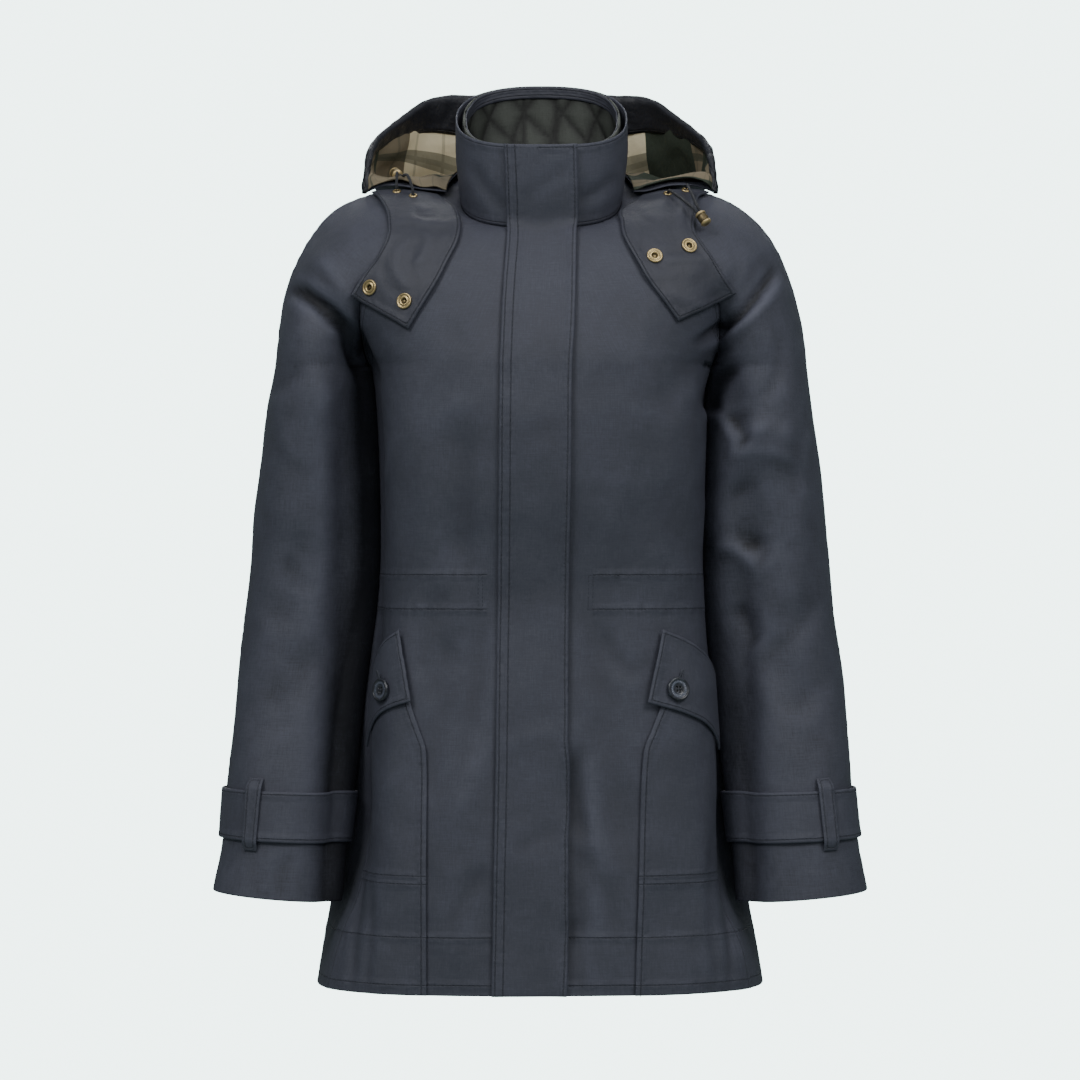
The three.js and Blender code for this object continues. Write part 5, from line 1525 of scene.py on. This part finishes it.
class JACKET_OT_storm_flap(bpy.types.Operator):
    """Storm flap down the front opening"""

    bl_idname = "jacket.storm_flap"
    bl_label = "Storm flap"

    def execute(self, context):
        build_shell()
        surface = storm_surface()
        across, down = surface.lengths()
        free = across[:, -1:] - across
        height = LYING + 0.3 + 1.6 * np.exp(-((free / 12) ** 2))
        height += 0.3 * (undulation(surface.points, 5, 40, 90) + 2)
        height += pucker(free - 4, down, 5, 0.2, 10, 0.3) + pucker(across - 4, down, 6, 0.2, 12, 1.7)
        x, _, z = np.moveaxis(surface.points, -1, 0)
        height = height - crease_depth(TRIM_CREASES, -1, x, z)
        surface.points = surface.moved(height)
        surface.refresh()
        across, down = surface.lengths()
        free = np.minimum(across[:, -1:] - across, down)
        cloth_piece("storm_flap_cloth", surface, 0, DOUBLED, waxed_material("flap"), nodes=("storm_flap",),
                    sewn=np.where(across < 30, across, 103 - free))
        lines = [
            inset_line(surface, "left", d, DOUBLED) for d in (3, 10)
        ] + [inset_line(surface, "right", 3.5, DOUBLED), inset_line(surface, "top", 3, DOUBLED)]
        sew("storm_flap_stitches", lines)
        return {"FINISHED"}


class JACKET_OT_pockets(bpy.types.Operator):
    """Patch pockets and their slanting flaps"""

    bl_idname = "jacket.pockets"
    bl_label = "Pockets"

    def execute(self, context):
        build_shell()
        lines = []
        for side in SIDES:
            surface = pocket_surface(side)
            across, down = surface.lengths()
            height = LYING + 0.4 + 0.3 * (undulation(surface.points, 9, 30, 80) + 1)
            height += pucker(across - 4, down, 6, 0.2, 11, 0.9)
            surface.points = surface.moved(np.maximum(height, LYING))
            surface.refresh()
            across, down = surface.lengths()
            cloth_piece(f"pocket_cloth_{side}", surface, 0, POCKET_THICKNESS, waxed_material("pocket"),
                        nodes=(f"pocket_{side}",), sewn=np.minimum(across, across[:, -1:] - across))
            lines += [inset_line(surface, "left", 4.5, POCKET_THICKNESS, 0.12)]
            for level, _ in POCKET_LINES:
                v = 1 + (POCKET_STRAIGHT - level) / (POCKET_STRAIGHT - HEM)
                p, n = surface.at(np.linspace(0.02, 0.98, 40), np.full(40, v))
                lines.append((p + n * POCKET_THICKNESS, n))
            flap = pocket_flap_surface(side)
            FLAPS[side] = flap
            cloth_piece(f"pocket_flap_cloth_{side}", flap, 0, DOUBLED, waxed_material(),
                        nodes=(f"pocket_flap_{side}",))
            lines += [inset_line(flap, edge, 3, DOUBLED) for edge in ("left", "bottom", "top")]
        sew("pocket_stitches", lines)
        return {"FINISHED"}


FLAPS = {}


def share_of(x, z):
    """How far round a front panel a place is that many millimetres from the centre line."""
    low, high = 0 * x, 0 * x + 0.85
    for _ in range(24):
        middle = (low + high) / 2
        inside = -body_section(middle, z, -1)[..., 0] < x
        low, high = np.where(inside, middle, low), np.where(inside, high, middle)
    return (low + high) / 2


def pocket_surface(side):
    """The pocket's grid: its top slants down to the rear, and its rows level out lower down."""
    down = np.concatenate([stations(0, 1, 26, 92)[:-3], np.linspace(1, 2, 50)])
    down = np.sort(np.concatenate([down, [2 - 0.5 / 190, 2 - 1.4 / 190]]))
    share = stations(0, 1, 34, 115)
    top = mix(-396.0, -436.0, share)
    z = np.where(
        down[:, None] < 1, mix(top[None], POCKET_STRAIGHT, np.minimum(down, 1)[:, None]),
        mix(POCKET_STRAIGHT, HEM, np.maximum(down - 1, 0)[:, None]) + 0 * share[None],
    )
    edge = share_of(table_at(POCKET, z[:, 0])[0], z[:, 0])[:, None]
    points, _ = on_front(side, mix(edge, POCKET_REAR, share[None]), z)
    return Surface(points, share, down, lambda p: p * np.array([1, 1, 0]))


def pocket_flap_surface(side):
    """The pocket flap's grid, lying over the pocket."""
    front, rows = POCKET_FLAPS[side]
    down, share = stations(0, 1, 22, 62), stations(0, 1, 34, 120)
    top, bottom = table_at(rows, share)
    front_z = mix(top[0], bottom[0], down)
    edge = share_of(front - 11 * down, front_z)[:, None]
    points, _ = on_front(side, mix(edge, FLAP_REAR, share[None]), mix(top[None], bottom[None], down[:, None]))
    surface = Surface(points, share, down, lambda p: p * np.array([1, 1, 0]))
    across, below = surface.lengths()
    height = 2 * LYING + POCKET_THICKNESS + 0.9 + 0.3 * (undulation(points, 21, 25, 60) + 1)
    height = height + 1.2 * ease(1 - across / 18) * ease(below / 40)
    surface.points = surface.moved(height)
    surface.refresh()
    return surface


class JACKET_OT_cuffs(bpy.types.Operator):
    """Sleeve bands near the cuffs and their loops"""

    bl_idname = "jacket.cuffs"
    bl_label = "Cuffs"

    def execute(self, context):
        build_shell()
        lines = []
        for side, sign in SIDES.items():
            def from_arm(p, sign=sign):
                return np.stack([p[..., 0] - sign * 230, p[..., 1] + 25, 0 * p[..., 2]], -1)

            turn, z = np.linspace(0, 2, 113)[:-1], stations(BAND[0], BAND[1], 12, 44)
            points, _ = on_sleeve(side, *np.broadcast_arrays(turn[None], z[:, None]))
            points = smoothed(points, 1, 3)
            band = Surface(points, turn, z, from_arm, ring=True)
            wave = np.sin(2 * math.pi * turn * 2.5 + sign) + np.sin(2 * math.pi * turn * 4 + 2)
            band.points = band.moved(LYING + 0.3 + 0.25 * (wave[None] + 2) * np.ones(len(z))[:, None])
            band.refresh()
            cloth_piece(f"cuff_band_{side}", band, 0, DOUBLED, waxed_material(), nodes=(f"cuff_strap_{side}",))
            lines += [inset_line(band, edge, 3, DOUBLED) for edge in ("top", "bottom")]
            turn, z = stations(LOOP[2], LOOP[3], 8, 14), stations(LOOP[0], LOOP[1], 30, 66)
            points, _ = on_sleeve(side, *np.broadcast_arrays(turn[None], z[:, None]))
            loop = Surface(points, turn, z, from_arm)
            ends = np.minimum(LOOP[0] - z, z - LOOP[1])[:, None]
            loop.points = loop.moved(LYING + 4.4 * ease(ends / 9) + 0 * turn[None])
            loop.refresh()
            cloth_piece(f"cuff_keeper_{side}", loop, 0, CLOTH, waxed_material(), nodes=(f"cuff_loop_{side}",))
            lines += [inset_line(loop, edge, 2.5, CLOTH) for edge in ("left", "right")]
        sew("cuff_stitches", lines)
        return {"FINISHED"}


class JACKET_OT_hood(bpy.types.Operator):
    """Hood folded back behind the neck: outer, checked lining and facing"""

    bl_idname = "jacket.hood"
    bl_label = "Hood"

    def execute(self, context):
        build_shell()
        build_cloud()
        sizes, colours = settings()
        surface = hood_surface(stations(-1, 1, 150, 700), stations(0, 1, 76, 330))
        check = cloth_material("checked_lining", None, None, None, 0.8, 900, clouds=0.12, specks=0.2,
                               weave=0.3, crumple=0.5, heather=0.18, ground=check_ground)
        s, t = surface.us[None], surface.vs[:, None]
        inside = ease(t / 0.2) * ease((1 - t) / 0.12)
        surface.points = surface.moved(0.8 * undulation(surface.points, 31, 30, 80) * inside)
        surface.refresh()
        puff = np.maximum(3.2 + 2.6 * undulation(surface.points, 33, 26, 70), 0.4) * inside
        cloth_piece("hood_lining_cloth", surface, -puff, 1.2 - puff, check,
                    nodes=("hood_lining",), worn=0.4)
        cloth_piece("hood_cloth", surface, 1.6, 1.6 + CLOTH, waxed_material(), nodes=("hood_shell",))

        # The facing turns round the rim: along its narrow side it runs from the inside, over the
        # edge, to the outside.
        rim = hood_surface(stations(-1, 1, 170, 700), np.linspace(0.94, 1, 8))
        inner, outer = rim.moved(-0.9), rim.moved(1.6 + CLOTH + 0.6)[::-1][:3]
        beyond = unit(rim.points[-1] - rim.points[-2]) * 2.2
        over = [mix(inner[-1], outer[0], k) + beyond * math.sin(math.pi * k) for k in (0.15, 0.5, 0.85)]
        layers = np.concatenate([inner, over, outer])
        wrapped = Surface(layers, rim.us, np.arange(len(layers)) * 1.0, lambda p: [0, 100, 60] - p)
        ripple = undulation(wrapped.points, 37, 9, 26)
        # The facing's dark cloth is painted shade.
        cloth_piece("hood_facing", wrapped, 0, 1.1 + 0.35 * ripple, waxed_material("dark"), nodes=("hood_rim",))
        return {"FINISHED"}


TAB_SURFACES = {}


def tab_surface(side):
    """A throat tab: a coarse grid laid over the panels from the hood's end, made fine and softened."""
    rows = TABS[side]
    shares = np.linspace(0, 1, 7)
    x = np.array([mix(r[0], r[2], shares) for r in rows], float)
    z = np.array([mix(r[1], r[3], shares) for r in rows], float)
    flat = draped(x, z, TAB_CLEAR)
    sign = SIDES[side]
    ts = np.linspace(0.11, 0.93, 7) if side == "left" else np.linspace(0.92, 0.1, 7)
    s, t = np.broadcast_arrays(np.array([float(sign)]), ts)
    first = lifted(hood_point(s, t), HOOD_CLEAR)
    first[:, 1] -= 4.2
    height, n = height_over(first)
    first = first + n * (TAB_CLEAR - height)[:, None]
    grid = np.concatenate([first[None], flat])
    soft = grid.copy()
    padded = np.pad(grid, ((1, 1), (1, 1), (0, 0)), mode="edge")
    around = (padded[:-2, 1:-1] + padded[2:, 1:-1] + padded[1:-1, :-2] + padded[1:-1, 2:]) / 4
    soft[1:, :, 1] = mix(grid[1:, :, 1], around[1:, :, 1], 0.5)
    soft[1:] = lifted(soft[1:], TAB_CLEAR)
    us, vs = stations(0, 1, 32, 74), stations(0, 1, 56, 140)
    points = resampled(soft, vs, us)
    points = lifted(points, TAB_CLEAR)
    points = smoothed(smoothed(points, 0, 3), 1, 3)
    return Surface(points, us, vs, (0, -1, 0.3))


class JACKET_OT_throat_tabs(bpy.types.Operator):
    """Throat tabs folded out over the shoulders"""

    bl_idname = "jacket.throat_tabs"
    bl_label = "Throat tabs"

    def execute(self, context):
        build_shell()
        if not CLOUD:
            build_cloud()
        lines = []
        for side in SIDES:
            surface = tab_surface(side)
            x, _, z = np.moveaxis(surface.points, -1, 0)
            crumpled = 0.45 * (undulation(surface.points, 41, 18, 50) + 1.4)
            crumpled -= crease_depth(TAB_CREASES, -1, x, z)
            surface.points = surface.moved(np.maximum(crumpled, 0))
            surface.refresh()
            TAB_SURFACES[side] = surface
            cloth_piece(f"throat_tab_cloth_{side}", surface, 0, DOUBLED, waxed_material("smooth"),
                        nodes=(f"throat_tab_{side}",))
            lines += [inset_line(surface, edge, 3, DOUBLED) for edge in ("left", "right", "bottom")]
        sew("tab_stitches", lines)
        return {"FINISHED"}


class JACKET_OT_fastenings(bpy.types.Operator):
    """Press studs, eyelets, buttons and the side stud"""

    bl_idname = "jacket.fastenings"
    bl_label = "Fastenings"

    def execute(self, context):
        colours = settings()[1]
        brass = plain_material("antique_brass", colours.brass, 0.36, metallic=0.9, deep=0.06)
        horn = plain_material("button_horn", colours.horn, 0.3, deep=0.4, rubbed=12, coat=0.3)
        # The third column is wear and painted shade: the socket's middle is darkest, as painted shade in its
        # hole.
        socket = [
            (6.3, -0.6, 0.3), (6.9, 0.1, 0.6), (7.1, 0.9, 0.75), (6.8, 1.7, 0.8), (6.2, 2.0, 0.8),
            (5.5, 1.7, 0.45), (4.9, 1.3, 0.3), (4.3, 1.6, 0.55), (3.7, 1.95, 0.75), (3.0, 1.9, 0.7),
            (2.5, 1.3, 0.3), (2.2, 0.3, 0.0), (1.4, 0.1, 0.0), (0.5, 0.3, 0.25),
        ]
        for name in ("snap_right_upper", "snap_right_lower", "snap_left_inner", "snap_left_outer"):
            seat = seat_on(name, TAB_SURFACES[name.split("_")[1]], DOUBLED + 0.3)
            turned(name.replace("snap", "press_stud"), socket, seat, brass, (name,))
        # The eyelet's hole is closed by a disc, darkened as painted shade.
        ring = [
            (3.9, -0.5, 0.3), (3.9, 0.3, 0.6), (3.5, 0.9, 0.8), (2.9, 1.1, 0.8), (2.3, 0.8, 0.6),
            (1.9, 0.1, 0.1), (1.8, -0.3, 0.0), (0.5, -0.35, 0.0),
        ]
        for name in ("eyelet_right_outer", "eyelet_right_inner", "eyelet_left_inner", "eyelet_left_outer"):
            seat = seat_on(name, TAB_SURFACES[name.split("_")[1]], DOUBLED + 0.2)
            turned(name.replace("eyelet", "lacing_eyelet"), ring, seat, brass, (name,))

        # Four holes in a dished middle, darkened as painted shade, and a ring of fine notches inside the rim.
        rim = [
            (7.0, -0.2), (10.4, 1.0), (10.5, 2.2), (10.2, 3.2), (9.6, 3.8), (9.0, 3.9), (8.4, 3.6), (7.8, 3.0),
            (7.1, 2.8), (6.4, 2.85), (5.7, 2.9), (5.1, 2.6), (4.5, 2.35),
        ]
        rim += [(radius, 2.3) for radius in np.arange(4.0, 0.3, -0.4)]

        def drilled(x, y, z, shade_and_wear):
            away = np.sqrt((np.abs(x) - 1.55) ** 2 + (np.abs(y) - 1.55) ** 2)
            hole = ease((1.15 - away) / 0.5)
            around, out = np.arctan2(y, x), np.hypot(x, y)
            band = np.exp(-(((out - 6.4) / 1.1) ** 2))
            notch = 0.5 + 0.5 * np.sin(28 * around)
            return z - 1.5 * hole + 0.3 * band * notch, np.clip(shade_and_wear - hole + 0.5 * band * notch, 0, 1)

        profile = [(radius, height, 0.5) for radius, height in rim]
        for side in SIDES:
            seat = seat_on(f"button_{side}", FLAPS[side], DOUBLED + 0.3)
            turned(f"horn_button_{side}", profile, seat, horn, (f"button_{side}",), 96, drilled)
            place, n = seat
            up = unit(np.array([0.35 * SIDES[side], 0.0, 1.0]) - n * n[2])
            aside = np.cross(up, n)
            turn = np.linspace(0, 2 * math.pi, 25)[:-1]
            loop = place + up * 12.5 + np.outer(np.cos(turn), up) * 5.5 + np.outer(np.sin(turn), aside) * 1.1
            thread = plain_material("sewing_thread", colours.thread, 0.6, bump=0.05)
            tube(f"buttonhole_{side}", loop + n * 0.2, 1.1, thread)
        stud = [
            (1.2, -0.4, 0.3), (2.3, 0.1, 0.5), (2.8, 0.9, 0.8), (2.5, 1.6, 0.8), (1.6, 2.0, 0.6),
            (0.5, 2.1, 0.5),
        ]
        nickel = plain_material("dull_nickel", colours.nickel, 0.35, metallic=0.9, deep=0.1)
        seat = seat_on("side_stud", SHELL["front", "left"], 0.8)
        turned("stud", stud, seat, nickel, ("side_stud",), 24)
        return {"FINISHED"}


class JACKET_PT_panel(bpy.types.Panel):
    """Lists the jacket's pieces"""

    bl_label = "Jacket"
    bl_space_type = "VIEW_3D"
    bl_region_type = "UI"
    bl_category = "Jacket"

    def draw(self, context):
        for operator in STEPS:
            self.layout.operator(operator.bl_idname)
        for group in (context.scene.jacket_sizes, context.scene.jacket_colours, context.scene.jacket_stage):
            for name in group.bl_rna.properties.keys():
                if name not in ("name", "rna_type"):
                    self.layout.prop(group, name)


STEPS = (
    JACKET_OT_stage, JACKET_OT_drawcords, JACKET_OT_body, JACKET_OT_sleeves, JACKET_OT_collar,
    JACKET_OT_storm_flap, JACKET_OT_pockets, JACKET_OT_cuffs, JACKET_OT_hood, JACKET_OT_throat_tabs,
    JACKET_OT_fastenings,
)
GROUPS_OF_SETTINGS = (JacketSizes, JacketColours, JacketStage)


def register():
    """Registers the settings, the operators and the panel."""
    for cls in (*GROUPS_OF_SETTINGS, *STEPS, JACKET_PT_panel):
        bpy.utils.register_class(cls)
    for name, cls in zip(("jacket_sizes", "jacket_colours", "jacket_stage"), GROUPS_OF_SETTINGS):
        setattr(bpy.types.Scene, name, bpy.props.PointerProperty(type=cls))


def unregister():
    """Removes what register added."""
    for name in ("jacket_sizes", "jacket_colours", "jacket_stage"):
        delattr(bpy.types.Scene, name)
    for cls in reversed((*GROUPS_OF_SETTINGS, *STEPS, JACKET_PT_panel)):
        bpy.utils.unregister_class(cls)


def main():
    register()
    bpy.ops.jacket.stage()
    bpy.ops.jacket.drawcords()
    bpy.ops.jacket.body()
    bpy.ops.jacket.sleeves()
    bpy.ops.jacket.collar()
    bpy.ops.jacket.storm_flap()
    bpy.ops.jacket.pockets()
    bpy.ops.jacket.cuffs()
    bpy.ops.jacket.hood()
    bpy.ops.jacket.throat_tabs()
    bpy.ops.jacket.fastenings()


if __name__ == "__main__":
    main()
